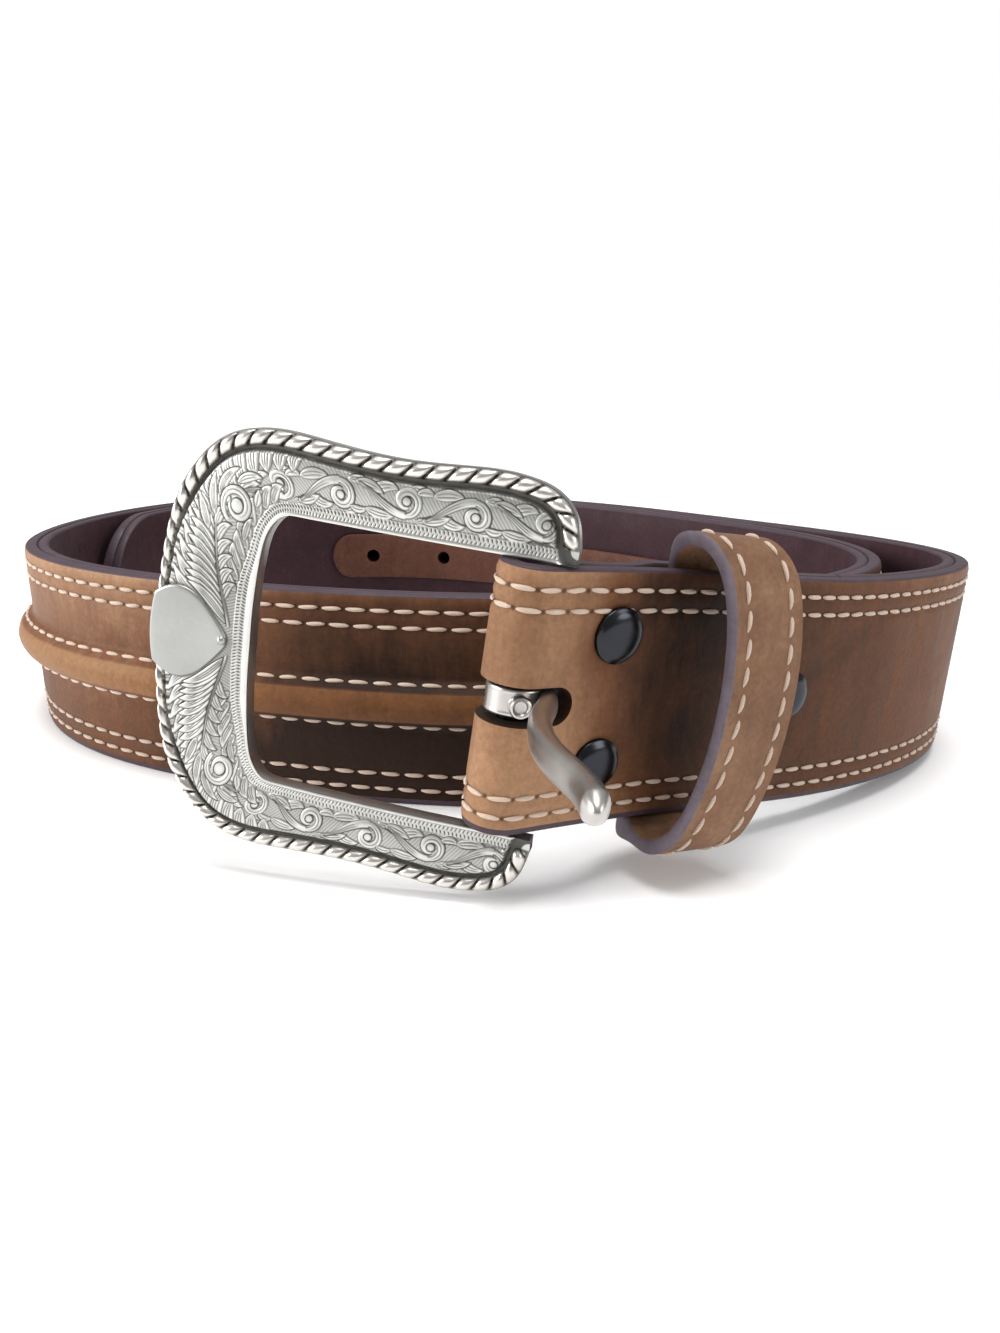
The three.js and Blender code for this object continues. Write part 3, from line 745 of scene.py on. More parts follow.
STRAP_ROWS = (MID - ROW_OUTER, MID - ROW_INNER)
BROWN = leather(
    "brown leather",
    dark=(0.02, 0.008, 0.004),
    light=(0.125, 0.05, 0.022),
    worn=(0.31, 0.17, 0.092),
    mottle=0.7,
    tone_with_shade_by_map=True,
    rows=STRAP_ROWS,
)
TAN = leather(
    "ridge leather",
    dark=(0.05, 0.02, 0.009),
    light=(0.18, 0.075, 0.028),
    worn=(0.3, 0.165, 0.075),
    mottle=0.5,
    grain=0.2,
    tone_with_shade_by_map=True,
)
KEEPER_TAN = leather(
    "keeper leather",
    dark=(0.075, 0.034, 0.02),
    light=(0.19, 0.1, 0.056),
    worn=(0.33, 0.195, 0.11),
    tone=0.5,
    mottle=0.9,
    patch=90.0,
    grain=0.4,
)
EDGE = leather(
    "painted edge",
    dark=(0.02, 0.01, 0.015),
    light=(0.042, 0.022, 0.031),
    worn=(0.09, 0.058, 0.075),
    tone=0.5,
    mottle=0.6,
    patch=120.0,
    grain=0.12,
    gloss=0.4,
)
KEEPER_EDGE = leather(
    "keeper edge",
    dark=(0.05, 0.036, 0.046),
    light=(0.105, 0.08, 0.1),
    worn=(0.17, 0.14, 0.165),
    tone=0.55,
    mottle=0.6,
    patch=120.0,
    grain=0.12,
    gloss=0.4,
)
DARK_LINING = leather(
    "dark lining",
    dark=(0.02, 0.008, 0.011),
    light=(0.042, 0.019, 0.024),
    worn=(0.08, 0.045, 0.05),
    tone=0.45,
    patch=70.0,
    grain=0.25,
)
RUST = leather(
    "rust backing",
    dark=(0.055, 0.02, 0.014),
    light=(0.1, 0.04, 0.026),
    worn=(0.15, 0.068, 0.045),
    tone=0.5,
    patch=110.0,
)
SILVER_PLAIN = metal("polished silver", (0.6, 0.585, 0.57), 0.34)
PRONG_STEEL = metal("prong silver", (0.5, 0.475, 0.45), 0.31)
GUNMETAL = metal("dark gunmetal", (0.036, 0.037, 0.043), 0.23)


def thread_material():
    """Waxed thread with a slanting twist."""
    material, tree, shader = new_material("waxed thread")
    uv = node(tree, "ShaderNodeUVMap", uv_map="place")
    wave = node(tree, "ShaderNodeTexWave", wave_type="BANDS", bands_direction="DIAGONAL", Scale=1.6)
    wave.inputs["Distortion"].default_value = 0.6
    link(tree, uv.outputs["UV"], wave.inputs["Vector"])
    twist = wave.outputs["Fac"]
    link(tree, mix_colour(tree, twist, (0.42, 0.28, 0.2), (0.84, 0.68, 0.55)), shader.inputs["Base Color"])
    relief(tree, shader, twist, 0.5, 0.0002)
    shader.inputs["Roughness"].default_value = 0.55
    shader.inputs["Sheen Weight"].default_value = 0.2
    return material


THREAD = thread_material()


# Strap


def tab_stations():
    """Middle line of the leather: tab, fold, then the strap to its tip."""
    middles, ups, halves, lengths = [], [], [], []
    along = np.array([r[0] for r in TAB_DEPTH], float)
    depth = np.array([r[1] for r in TAB_DEPTH], float)
    for s in np.arange(TAB_LENGTH, 3.0, -1.6):
        reach = np.linspace(-1.5, 1.5, 7)
        d = np.mean(np.interp(np.clip(s + reach, 0, TAB_LENGTH), along, depth))
        middles.append(coil.on(s, -d, 0.0))
        ups.append(coil.frame(s)[2])
        lengths.append(-s - FOLD_ARC)
    radius = FOLD_RADIUS - LEATHER / 2
    for turn in np.linspace(math.pi * 0.02, math.pi, 22):
        middles.append(BAR_POINT - BAR_OUT * radius * math.cos(turn) - BAR_ALONG * radius * math.sin(turn))
        ups.append(BAR_UP)
        lengths.append(-FOLD_ARC * (1 - turn / math.pi))
    body = np.arange(1.5, STRAP_LENGTH - TIP_ROUNDING, 1.9)
    tip = STRAP_LENGTH - TIP_ROUNDING + TIP_ROUNDING * np.sin(np.linspace(0, math.pi / 2, 16))
    for s in np.concatenate((body, tip)):
        middles.append(coil.on(s, -LEATHER / 2, 0.0))
        ups.append(coil.frame(s)[2])
        lengths.append(s)
    middles, ups, lengths = np.array(middles), np.array(ups), np.array(lengths)
    halves = half_height(lengths)
    before = middles[np.maximum(np.arange(len(middles)) - 1, 0)]
    after = middles[np.minimum(np.arange(len(middles)) + 1, len(middles) - 1)]
    outs = unit(np.cross(after - before, ups))
    return middles, ups, outs, halves, lengths


def channel(distance, width=1.15, depth=0.34):
    """Sunk line along a stitch row."""
    return -depth * np.clip(1 - (distance / width) ** 2, 0, 1) ** 1.5


# Heights of the grain side's points, up from the middle of the strap
GRAIN_STEPS = np.arange(-MID + 1.2, MID - 1.1, 0.62)
STRAP_EDGE_RADIUS = 0.6


def edge_arc(half_thick, side):
    """Rounded edge of the strap's section; side is 1 for the upper edge and -1 for the lower one."""
    shoulder = half_thick - 0.25 - STRAP_EDGE_RADIUS
    arc = []
    for turn in np.linspace(0.12, 0.5, 5)[::side] * math.pi:
        out = shoulder + STRAP_EDGE_RADIUS * math.cos(turn)
        arc.append((out, side * (MID - STRAP_EDGE_RADIUS * (1 - math.sin(turn)))))
    return arc


def leather_profile():
    """Section of the strap, as out and up from its middle: grain side, upper edge, back, lower edge."""
    half_thick = LEATHER / 2 + 0.1
    points = []
    for up in GRAIN_STEPS:
        sunk = sum(channel(abs(abs(up) - row)) for row in STRAP_ROWS)
        fall = 0.35 * max(0.0, 1 - (MID - abs(up)) / 2.2) ** 2
        points.append((half_thick + sunk - fall, up))
    points += edge_arc(half_thick, 1)
    points += [(-half_thick + 0.25, MID), (-half_thick, MID - 0.3)]
    points += [(-half_thick, up) for up in np.linspace(MID - 4, -MID + 4, 5)]
    points += [(-half_thick, -MID + 0.3), (-half_thick + 0.25, -MID)]
    points += edge_arc(half_thick, -1)
    return points


# How pale the leather is along the strap, with painted shade in the window from 550 to 705 mm: length, tone,
# rise of the tone per mm up
TONES_WITH_SHADE = (
    (-78, 0.4, 0.0),
    (-17, 0.6, 0.0),
    (-4, 0.9, 0.0),
    (4, 0.86, 0.0),
    (10, 0.6, -0.002),
    (18, 0.24, -0.006),
    (34, 0.1, -0.006),
    (56, 0.26, 0.0),
    (80, 0.46, 0.0),
    (125, 0.5, 0.0),
    (300, 0.5, 0.0),
    (430, 0.48, 0.01),
    (470, 0.58, 0.013),
    (530, 0.6, 0.013),
    # painted shade: the window behind the buckle, darker towards its bottom
    (550, 0.3, 0.014),
    (566, 0.02, 0.015),
    (650, -0.08, 0.016),
    (705, 0.0, 0.015),
    (760, 0.4, 0.0),
    (1200, 0.45, 0.0),
)


def tone_with_shade_at(length, above):
    """Pale at the fold and the left bend, dark on the billet, paler along the edges; painted shade in the
    window behind the buckle, darker towards its bottom.
    """
    rows = np.array(TONES_WITH_SHADE, float)
    base = np.interp(length, rows[:, 0], rows[:, 1]) + above * np.interp(length, rows[:, 0], rows[:, 2])
    edge = 0.16 * np.exp(-np.clip(MID - np.abs(above), 0, None) / 1.2)
    low = 0.34 * np.clip((-above - 7) / 8, 0, 1) * np.clip(1 - length / 45, 0, 1) * (length > -8)
    return np.maximum(base, -0.25) + edge + low


def face_slots(obj, materials, choose):
    """Gives each face one of the materials by its place in the uv map."""
    mesh = obj.data
    for material in materials:
        mesh.materials.append(material)
    uv = place_of_loops(mesh)
    starts = np.zeros(len(mesh.polygons), np.int32)
    totals = np.zeros(len(mesh.polygons), np.int32)
    mesh.polygons.foreach_get("loop_start", starts)
    mesh.polygons.foreach_get("loop_total", totals)
    mids = np.array([uv[a : a + t].mean(0) for a, t in zip(starts, totals)])
    mesh.polygons.foreach_set("material_index", choose(mids).astype(np.int32))


def punch_cutters():
    cutters = []
    for i in range(HOLE_COUNT):
        length = STRAP_LENGTH - HOLE_FIRST - i * HOLE_PITCH
        cutters.append(cylinder("punch", HOLE_RADIUS, 18, strap_matrix(length, -4, 0)))
    return cutters


def slot_cutter():
    bm = bmesh.new()
    bmesh.ops.create_cube(bm, size=1.0)
    bmesh.ops.scale(bm, vec=(20 * MM, SLOT_HEIGHT * MM, 16 * MM), verts=bm.verts)
    bmesh.ops.translate(bm, vec=((SLOT_END - 10) * MM, 0, 0), verts=bm.verts)
    ends = []
    for edge in bm.edges:
        a, b = edge.verts
        if a.co.x > 0 and b.co.x > 0 and abs(a.co.y - b.co.y) < 1e-9:
            ends.append(edge)
    rounding = SLOT_HEIGHT * MM * 0.49
    bmesh.ops.bevel(
        bm, geom=ends, offset=rounding, segments=8, profile=0.5, affect="EDGES", material=-1
    )
    bmesh.ops.transform(bm, matrix=bar_matrix(), verts=bm.verts)
    return finish_mesh("slot", bm, 30)


def pitch_table():
    lengths = np.arange(-90.0, 1250.0, 1.0)
    pitch = np.interp(lengths, *np.array(PITCHES, float).T)
    counts = np.cumsum(1 / pitch)
    return lengths, counts - np.interp(0.0, lengths, counts)


STITCH_LENGTHS, STITCH_COUNTS = pitch_table()


def stitch_count(length):
    """Number of stitches from the bar to a place, whole at the middle of each stitch of the outer row."""
    return np.interp(length, STITCH_LENGTHS, STITCH_COUNTS)


def stitch_places(start, end, shift=0.0):
    """Strap lengths of the stitches between two places."""
    first, last = stitch_count(start) - shift, stitch_count(end) - shift
    whole = np.arange(math.ceil(first), math.floor(last) + 1)
    return np.interp(whole + shift, STITCH_COUNTS, STITCH_LENGTHS)


def place_of_loops(mesh):
    """The place map's two values at each loop."""
    uv = np.zeros(len(mesh.loops) * 2, np.float32)
    mesh.uv_layers["place"].data.foreach_get("uv", uv)
    return uv.reshape(-1, 2)


def add_map(mesh, name, first, second):
    """A second map that holds two values at each loop."""
    pairs = np.zeros((len(mesh.loops), 2), np.float32)
    pairs[:, 0] = first
    pairs[:, 1] = second
    mesh.uv_layers.new(name=name).data.foreach_set("uv", pairs.ravel())


def strap_tone_with_shade(mesh):
    """Tone with painted shade, and stitch counts, from each loop's place along and up the strap."""
    place = place_of_loops(mesh)
    length = place[:, 0] * 10.0
    above = STRAP_RING(place[:, 1])[:, 1]
    add_map(mesh, "wear", tone_with_shade_at(length, above), above / 10)
    count = stitch_count(length)
    add_map(mesh, "count", count, count - INNER_ROW_SHIFT)


STRAP_RING, STRAP_COUNT = profile_closed(leather_profile())


def make_strap():
    middles, ups, outs, halves, lengths = tab_stations()
    n = len(middles) - 1

    def place(u, v):
        i = np.round(u * n).astype(int)
        section = STRAP_RING(v)
        scale = (halves[i] / MID)[:, None]
        return middles[i] + outs[i] * section[:, :1] + ups[i] * section[:, 1:] * scale

    def uv(u, v):
        i = np.round(u * n).astype(int)
        return np.stack([lengths[i] * 0.1, v], -1)

    strap = grid("outer_leather_strap", n, STRAP_COUNT, place, uv=uv)
    strap_tone_with_shade(strap.data)
    grain_end = len(GRAIN_STEPS) / STRAP_COUNT
    face_slots(strap, (BROWN, EDGE), lambda mids: (mids[:, 1] > grain_end) | (mids[:, 1] < 0.002))
    apply_cut(strap, [slot_cutter()] + punch_cutters())
    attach(strap, "belt")
    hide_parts("outer_leather")


make_strap()


def strip(name, start, end, back, front, half, edge_radius, step=2.4, tip=False):
    """A flat strip on the strap between two depths, with rounded edges.

    Gives the piece, and how far round its section the front, the upper edge and the back end.
    """
    thick = (front - back) / 2
    middle = (front + back) / 2
    points = [(thick, up, 0.0) for up in np.linspace(-1, 1, 7)]
    for turn in np.linspace(0.15, 0.85, 6) * math.pi:
        points.append((thick * math.cos(turn), 1.0, math.sin(turn) * edge_radius))
    points += [(-thick, up, 0.0) for up in np.linspace(1, -1, 7)]
    for turn in np.linspace(0.85, 0.15, 6) * math.pi:
        points.append((thick * math.cos(turn), -1.0, -math.sin(turn) * edge_radius))
    ring, count = profile_closed(points)
    if tip:
        rounding = end - TIP_ROUNDING + TIP_ROUNDING * np.sin(np.linspace(0, math.pi / 2, 16))
        lengths = np.concatenate((np.arange(start, end - TIP_ROUNDING, step), rounding))
    else:
        lengths = np.concatenate((np.arange(start, end, step), [end]))
    n = len(lengths) - 1

    def place(u, v):
        s = lengths[np.round(u * n).astype(int)]
        section = ring(v)
        above = section[:, 1] * np.maximum(half(s) - edge_radius, 0.01) + section[:, 2]
        return coil.on(s, middle + section[:, 0], above)

    def uv(u, v):
        s = lengths[np.round(u * n).astype(int)]
        return np.stack([s * 0.1, v], -1)

    return grid(name, n, count, place, uv=uv), 7 / count, 13 / count, 20 / count


LINING_BACK = -(LEATHER + GAP + LINING)


def make_lining():
    start = TAB_LENGTH + 0.6
    lining, front_end, edge_end, back_end = strip(
        "lining_strap", start, STRAP_LENGTH, LINING_BACK, -LEATHER - 0.12, half_height, 0.5, tip=True
    )

    def painted(mids):
        upper = (mids[:, 1] > front_end) & (mids[:, 1] < edge_end - 0.01)
        return upper | (mids[:, 1] > back_end)

    face_slots(lining, (DARK_LINING, EDGE), painted)
    apply_cut(lining, punch_cutters())
    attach(lining, "belt")
    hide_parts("lining")


make_lining()


def make_backing():
    """Round-ended strip on the lining, behind the belt holes."""
    front = LINING_BACK - 0.05
    end = STRAP_LENGTH - BACKING_FROM_TIP
    start = end - BACKING_LENGTH

    def half(s):
        reach = BACKING_HEIGHT / 2
        from_end = np.minimum(np.minimum(s - start, end - s), reach)
        return np.maximum(np.sqrt(np.maximum(reach**2 - (reach - from_end) ** 2, 0)), 0.35)

    back = front - BACKING_THICK - 0.2
    backing, *_ = strip("hole_backing_strip", start, end, back, front, half, 0.3, step=0.9)
    backing.data.materials.append(RUST)
    apply_cut(backing, punch_cutters())
    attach(backing, "belt")
    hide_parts("hole_backing")


make_backing()


def ridge_height(above, swell):
    """The padded ridge: round crown, pinched at its stitch rows, flared foot."""
    a = np.abs(above)
    crown = np.sqrt(np.clip(1 - (a / 4.4) ** 2, 0, 1)) * (RIDGE_HEIGHT - 0.5)
    foot = 0.95 * np.clip(1 - a / 6.6, 0, 1) ** 1.3
    pinch = -0.3 * np.exp(-(((a - RIDGE_ROW + 0.3) / 0.5) ** 2))
    return (np.maximum(crown, foot * 1.3) + foot * 0.45 + pinch) * swell - 0.08


def ridge_swell(length):
    """Share of the ridge's full height, less near its two ends."""
    from_end = np.minimum(length - RIDGE_START, RIDGE_END - length)
    return np.sqrt(np.clip(from_end / RIDGE_TAPER, 0, 1))


def make_ridge():
    span = RIDGE_END - RIDGE_START

    def place(u, v):
        s = RIDGE_START + span * u
        above = (v - 0.5) * 2 * RIDGE_REACH
        return coil.on(s, ridge_height(above, ridge_swell(s)), above)

    def uv(u, v):
        return np.stack([(RIDGE_START + span * u) * 0.1, v], -1)

    ridge = grid("centre_ridge_pad", int(span / 2.0), 40, place, closed_v=False, uv=uv)
    spots = place_of_loops(ridge.data)
    above = (spots[:, 1] - 0.5) * 2 * RIDGE_REACH
    # the strap's tone, with its painted shade in the window
    tone = tone_with_shade_at(spots[:, 0] * 10, above * 0.6)
    padded = np.abs(above) < RIDGE_PAD + 0.2
    tone[padded] = np.maximum(tone[padded] + 0.16, 0.34)
    add_map(ridge.data, "wear", tone, above / 10)
    # no needle holes on the ridge's own leather
    add_map(ridge.data, "count", 0.0, 0.0)
    face_slots(ridge, (BROWN, TAN), lambda mids: np.abs(mids[:, 1] - 0.5) * 2 * RIDGE_REACH < RIDGE_PAD)
    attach(ridge, "belt")
    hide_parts("centre_ridge")


make_ridge()


# Stitches


def stitch_base():
    """Points and faces of one stitch, from -1 to 1 each way."""
    bm = bmesh.new()
    bmesh.ops.create_uvsphere(bm, u_segments=8, v_segments=7, radius=1.0)
    bmesh.ops.rotate(bm, matrix=Matrix.Rotation(math.pi / 2, 3, "Y"), verts=bm.verts)
    bm.verts.index_update()
    points = np.array([vert.co[:] for vert in bm.verts])
    faces = [tuple(vert.index for vert in face.verts) for face in bm.faces]
    bm.free()
    # flat long middle, short rounded ends
    points[:, 0] = np.sign(points[:, 0]) * np.abs(points[:, 0]) ** 0.75
    return points, faces


STITCH_BASE = stitch_base()


def stitches(name, rows, sizes, slant=STITCH_SLANT, width=STITCH_WIDTH, height=STITCH_HEIGHT, seed=1):
    """Joined stitches with slanting ends; each row holds points and the directions along, up and out."""
    points, alongs, ups, outs = (np.concatenate([row[k] for row in rows]) for k in range(4))
    base, faces = STITCH_BASE
    rng = np.random.default_rng(seed)
    count = len(points)
    turn = slant + rng.normal(0, 0.03, count)
    lengthwise = alongs * np.cos(turn)[:, None] + ups * np.sin(turn)[:, None]
    sideways = -alongs * np.sin(turn)[:, None] + ups * np.cos(turn)[:, None]
    size = sizes / 2 * (1 + rng.normal(0, 0.03, count))
    x, y, z = base[None, :, :1], base[None, :, 1:2], base[None, :, 2:]
    verts = (
        points[:, None]
        + lengthwise[:, None] * (x * size[:, None, None] - y * width * 0.42)
        + sideways[:, None] * y * width / 2
        + outs[:, None] * (z * height)
        - outs[:, None] * (0.3 * np.abs(x) ** 3)
    )
    mesh = bpy.data.meshes.new(name)
    n = len(base)
    every = [tuple(k + i * n for k in face) for i in range(count) for face in faces]
    mesh.from_pydata((verts.reshape(-1, 3) * MM).tolist(), [], every)
    index = np.zeros(len(mesh.loops), np.int32)
    mesh.loops.foreach_get("vertex_index", index)
    add_map(mesh, "place", base[index % n, 0] * 2.2, base[index % n, 1])
    obj = bpy.data.objects.new(name, mesh)
    bpy.context.scene.collection.objects.link(obj)
    mesh.materials.append(THREAD)
    smooth(obj, 80)
    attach(obj, "belt")


# Stitch rows: how far the row is shifted, in stitches, and its height from the middle of the strap
STITCH_ROWS = ((0.0, STRAP_ROWS[0]), (INNER_ROW_SHIFT, STRAP_ROWS[1]))


def edge_stitches():
    rows, places = [], []
    for shift, height in STITCH_ROWS:
        for side in (1, -1):
            lengths = stitch_places(1.0, STRAP_LENGTH - TIP_ROUNDING - 2, shift)
            depth = np.full_like(lengths, -STITCH_SUNK)
            points = coil.on(lengths, depth, np.full_like(lengths, side * height))
            _, along, up, out = coil.frame(lengths)
            rows.append((points, along, up, out))
            places.append(lengths)
    pitch = np.interp(np.concatenate(places), *np.array(PITCHES, float).T)
    stitches("edge_stitches", rows, STITCH_SHARE * pitch, seed=3)


def ridge_stitches():
    rows = []
    for side in (1, -1):
        lengths = stitch_places(RIDGE_START + 6, RIDGE_END - 6, 0.15)
        above = np.full_like(lengths, side * RIDGE_ROW)
        points = coil.on(lengths, ridge_height(above, ridge_swell(lengths)) + 0.12, above)
        _, along, up, outward = coil.frame(lengths)
        tilt = side * RIDGE_ROW_TILT
        out = unit(outward * math.cos(tilt) + up * math.sin(tilt))
        rows.append((points, along, unit(np.cross(out, along)), out))
    stitches("ridge_stitches", rows, RIDGE_STITCH, seed=4)


def fold_stitches():
    rows = []
    for shift, height in STITCH_ROWS:
        for side in (1, -1):
            for length in stitch_places(-FOLD_ARC, 1.0, shift):
                turn = math.pi + length / FOLD_RADIUS
                out = -BAR_OUT * math.cos(turn) - BAR_ALONG * math.sin(turn)
                along = BAR_OUT * math.sin(turn) - BAR_ALONG * math.cos(turn)
                point = BAR_POINT + out * (FOLD_RADIUS - STITCH_SUNK) + BAR_UP * side * height
                rows.append(([point], [along], [BAR_UP], [out]))
    stitches("fold_stitches", rows, FOLD_STITCH, seed=5)


edge_stitches()
ridge_stitches()
fold_stitches()


# Keeper

# Upper half of the loop round the strap, from its rear to the middle of its face: out, up
KEEPER_OUTER = (
    (-4.65, 19.1),
    (-3.3, 23.7),
    (0.2, 25.6),
    (4.6, 25.4),
    (8.6, 22.1),
    (10.4, 15.8),
    (11.2, 8),
    (11.4, 0),
)
KEEPER_INNER = (
    (-3.05, 20.0),
    (-1.8, 22.2),
    (0.4, 23.4),
    (3.9, 23.1),
    (6.8, 20.2),
    (8.4, 14.8),
    (9.1, 7.6),
    (9.3, 0),
)


def keeper_ring(half):
    """Closed line round the strap, by a share from 0 to 1; its lower half is a little less high."""
    lower = [(out, -up * KEEPER_LOWER if out > KEEPER_REAR else -up) for out, up in half[:-1]][::-1]
    ring = [*half, *lower]
    back = np.linspace(ring[-1][1], ring[0][1], 8)[1:-1]
    ring += [(ring[0][0], up) for up in back]
    points = np.array(ring)
    step = np.linspace(0, 1, len(points) + 1)
    closed = np.vstack([points, points[:1]])
    # three points more at each end keep the line smooth where it closes
    line = np.vstack([closed[-4:-1], closed, closed[1:4]])
    knots = np.concatenate([step[-4:-1] - 1, step, step[1:4] + 1])
    out, up = natural_spline(knots, line[:, 0]), natural_spline(knots, line[:, 1])
    return lambda u: np.stack([out(u), up(u)], -1)


keeper_outer = keeper_ring(KEEPER_OUTER)
keeper_inner = keeper_ring(KEEPER_INNER)


def keeper_section():
    """Share from the inner to the outer line, and share of the half width; face, edge, inside, edge."""
    points = []
    for w in np.linspace(-1, 1, 13):
        dip = channel(abs(abs(w) * KEEPER_WIDTH / 2 - KEEPER_ROW), 1.0, 0.16)
        points.append((1.0 + dip * 0.4 - 0.05 * abs(w) ** 6, w * KEEPER_SHOULDER))
    turns = np.linspace(0.12, 0.88, 7) * math.pi
    edge = [(0.5 + 0.5 * math.cos(turn), 0.07 * math.sin(turn)) for turn in turns]
    points += [(share, KEEPER_SHOULDER + rounding) for share, rounding in edge]
    points += [(0.0, w * KEEPER_SHOULDER) for w in np.linspace(1, -1, 7)]
    points += [(share, -KEEPER_SHOULDER - rounding) for share, rounding in edge[::-1]]
    return points


def keeper_spot(at, along):
    """Points of the leaning keeper from their out and up, and their distance along it."""
    point, forward, up, out = coil.frame(np.array(KEEPER_ALONG))
    shift = KEEPER_SLANT * at[:, 1] - KEEPER_SWEEP * at[:, 1] ** 2
    return point + out * at[:, :1] + up * at[:, 1:] + forward * (along + shift)[:, None]


def make_keeper():
    ring, count = profile_closed(keeper_section())

    def place(u, v):
        section = ring(v)
        inner = keeper_inner(u)
        at = inner + (keeper_outer(u) - inner) * section[:, :1]
        return keeper_spot(at, section[:, 1] * KEEPER_WIDTH / 2)

    def painted(mids):
        round_it = mids[:, 1] * count
        return ((round_it > 13) & (round_it < 20)) | (round_it > 27)

    keeper = grid("keeper_loop", 150, count, place, closed_u=True, caps=False)
    face_slots(keeper, (KEEPER_TAN, KEEPER_EDGE), painted)
    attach(keeper, "belt")
    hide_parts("keeper")


def keeper_stitches():
    """A row near each edge of the keeper, on its face."""
    share = np.linspace(0, 1, 2001)
    front = share[keeper_outer(share)[:, 0] > 0.0]
    dense = np.linspace(front[0], front[-1], 800)
    length = line_lengths(keeper_outer(dense))
    picks = np.interp(np.arange(1.2, length[-1] - 1.0, KEEPER_PITCH), length, dense)
    reach = 0.004
    _, forward, _, _ = coil.frame(np.array(KEEPER_ALONG))
    middle = keeper_spot(np.array([[3.0, 0.0]]), 0.0)
    rows = []
    for side in (1, -1):
        along = side * KEEPER_ROW
        at = keeper_spot(keeper_outer(picks + (reach if side > 0 else 0)), along)
        ahead = keeper_spot(keeper_outer(picks + reach), along)
        behind = keeper_spot(keeper_outer(picks - reach), along)
        tangent = unit(ahead - behind)
        normal = unit(np.cross(tangent, np.broadcast_to(forward, tangent.shape)))
        normal *= np.sign(np.sum(normal * (at - middle), -1, keepdims=True))
        rows.append((at + normal * 0.02, tangent, unit(np.cross(normal, tangent)), normal))
    stitches("keeper_stitches", rows, KEEPER_STITCH, slant=-0.08, width=0.73, height=0.34, seed=6)


make_keeper()
keeper_stitches()


# Screws


def lathe(name, profile, matrix, steps=48, sharp=35):
    """A turned piece from points of radius and height."""
    bm = bmesh.new()
    verts = [bm.verts.new((r * MM, 0, z * MM)) for r, z in profile]
    edges = [bm.edges.new((a, b)) for a, b in zip(verts, verts[1:])]
    bmesh.ops.spin(
        bm,
        geom=verts + edges,
        cent=(0, 0, 0),
        axis=(0, 0, 1),
        angle=2 * math.pi,
        steps=steps,
        use_merge=True,
    )
    bmesh.ops.remove_doubles(bm, verts=bm.verts, dist=1e-6)
    bmesh.ops.recalc_face_normals(bm, faces=bm.faces)
    bmesh.ops.transform(bm, matrix=matrix, verts=bm.verts)
    return finish_mesh(name, bm, sharp)


def make_screws():
    """Domed screws with a plain head behind the tab."""
    names = ("screw_upper", "screw_lower", "screw_by_keeper")
    back = -(2 * LEATHER + 3 * GAP)
    profile = [
        (0.0, back - 0.9),
        (3.0, back - 0.85),
        (3.4, back - 0.6),
        (3.4, back),
        (1.8, back),
        (1.8, 0.12),
        (4.2, 0.12),
    ]
    for turn in np.linspace(0, 0.8, 6) * math.pi / 2:
        profile.append((3.85 + 0.35 * math.cos(turn), 0.5 + 0.35 * math.sin(turn)))
    for share in np.linspace(0.93, 0.0, 16):
        profile.append((3.85 * share, 0.75 + 1.05 * math.sqrt(1 - share**2)))
    for name, (along, above) in zip(names, SCREWS):
        obj = lathe(name + "_dome", profile, strap_matrix(along, 0, above))
        obj.data.materials.append(GUNMETAL)
        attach(obj, "belt")
        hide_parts(name)


make_screws()


# Buckle frame


def bow_at(across):
    """How far the frame bows out towards its middle."""
    share = np.clip(across / BOW_SPAN, 0, 1)
    return 4 * BOW * share * (1 - share)


def band_lines():
    """Inner and outer line of the band from one arm's end to the other, by length of its middle."""
    upper = np.array(BAND, float)
    lower = upper[:-1][::-1] * (1, -1, 1, -1)
    rows = np.vstack([upper, lower])
    knots = line_lengths((rows[:, :2] + rows[:, 2:]) / 2)
    splines = [natural_spline(knots, rows[:, k]) for k in range(4)]

    def inner(t):
        return np.stack([splines[0](t), splines[1](t)], -1)

    def outer(t):
        return np.stack([splines[2](t), splines[3](t)], -1)

    return inner, outer, knots[-1]


band_in, band_out, BAND_LENGTH = band_lines()
HALF_BAND = BAND_LENGTH / 2


def edge_table():
    """Outer edge of the band by length of its middle: points, outward normals and the edge's own length."""
    t = np.linspace(0, BAND_LENGTH, 1501)
    edge = band_out(t)
    tangent = unit(np.gradient(edge, axis=0))
    normal = np.stack([tangent[:, 1], -tangent[:, 0]], -1)
    half = len(t) // 2
    normal *= np.sign(np.sum(normal[half] * (edge - band_in(t))[half]))
    return t, edge, normal, line_lengths(edge)


EDGE_T, EDGE_POINTS, EDGE_NORMALS, EDGE_LENGTHS = edge_table()


def from_edge(t, points, reach=70):
    """True distance of points to the outer edge, searched near their place along the band."""
    middle = np.round(t / BAND_LENGTH * (len(EDGE_T) - 1)).astype(int)
    best = np.full(len(t), 99.0)
    for step in range(-reach, reach + 1):
        near = EDGE_POINTS[np.clip(middle + step, 0, len(EDGE_T) - 1)]
        best = np.minimum(best, np.hypot(*(points - near).T))
    return best


def far_share(t):
    """1 on the far side of the frame, 0 on its arms."""
    share = np.clip((19 - np.abs(t - HALF_BAND)) / 9, 0, 1)
    return share * share * (3 - 2 * share)


def lip_width(t):
    """Width of the plain lip along the opening."""
    return 0.5 + 0.6 * far_share(t)


def knurl_end(t):
    """Distance from the opening to the far edge of the knurled line."""
    return lip_width(t) + 1.45 + 0.25 * far_share(t)


def rope_half(t):
    """Half the width of the rope."""
    return 1.12 - 0.34 * far_share(t)


def rope_in(t):
    """Width of the rope with its outer rim and the dark groove inside it."""
    return ROPE_INSET + 2 * rope_half(t) + 0.55 - 0.4 * far_share(t)


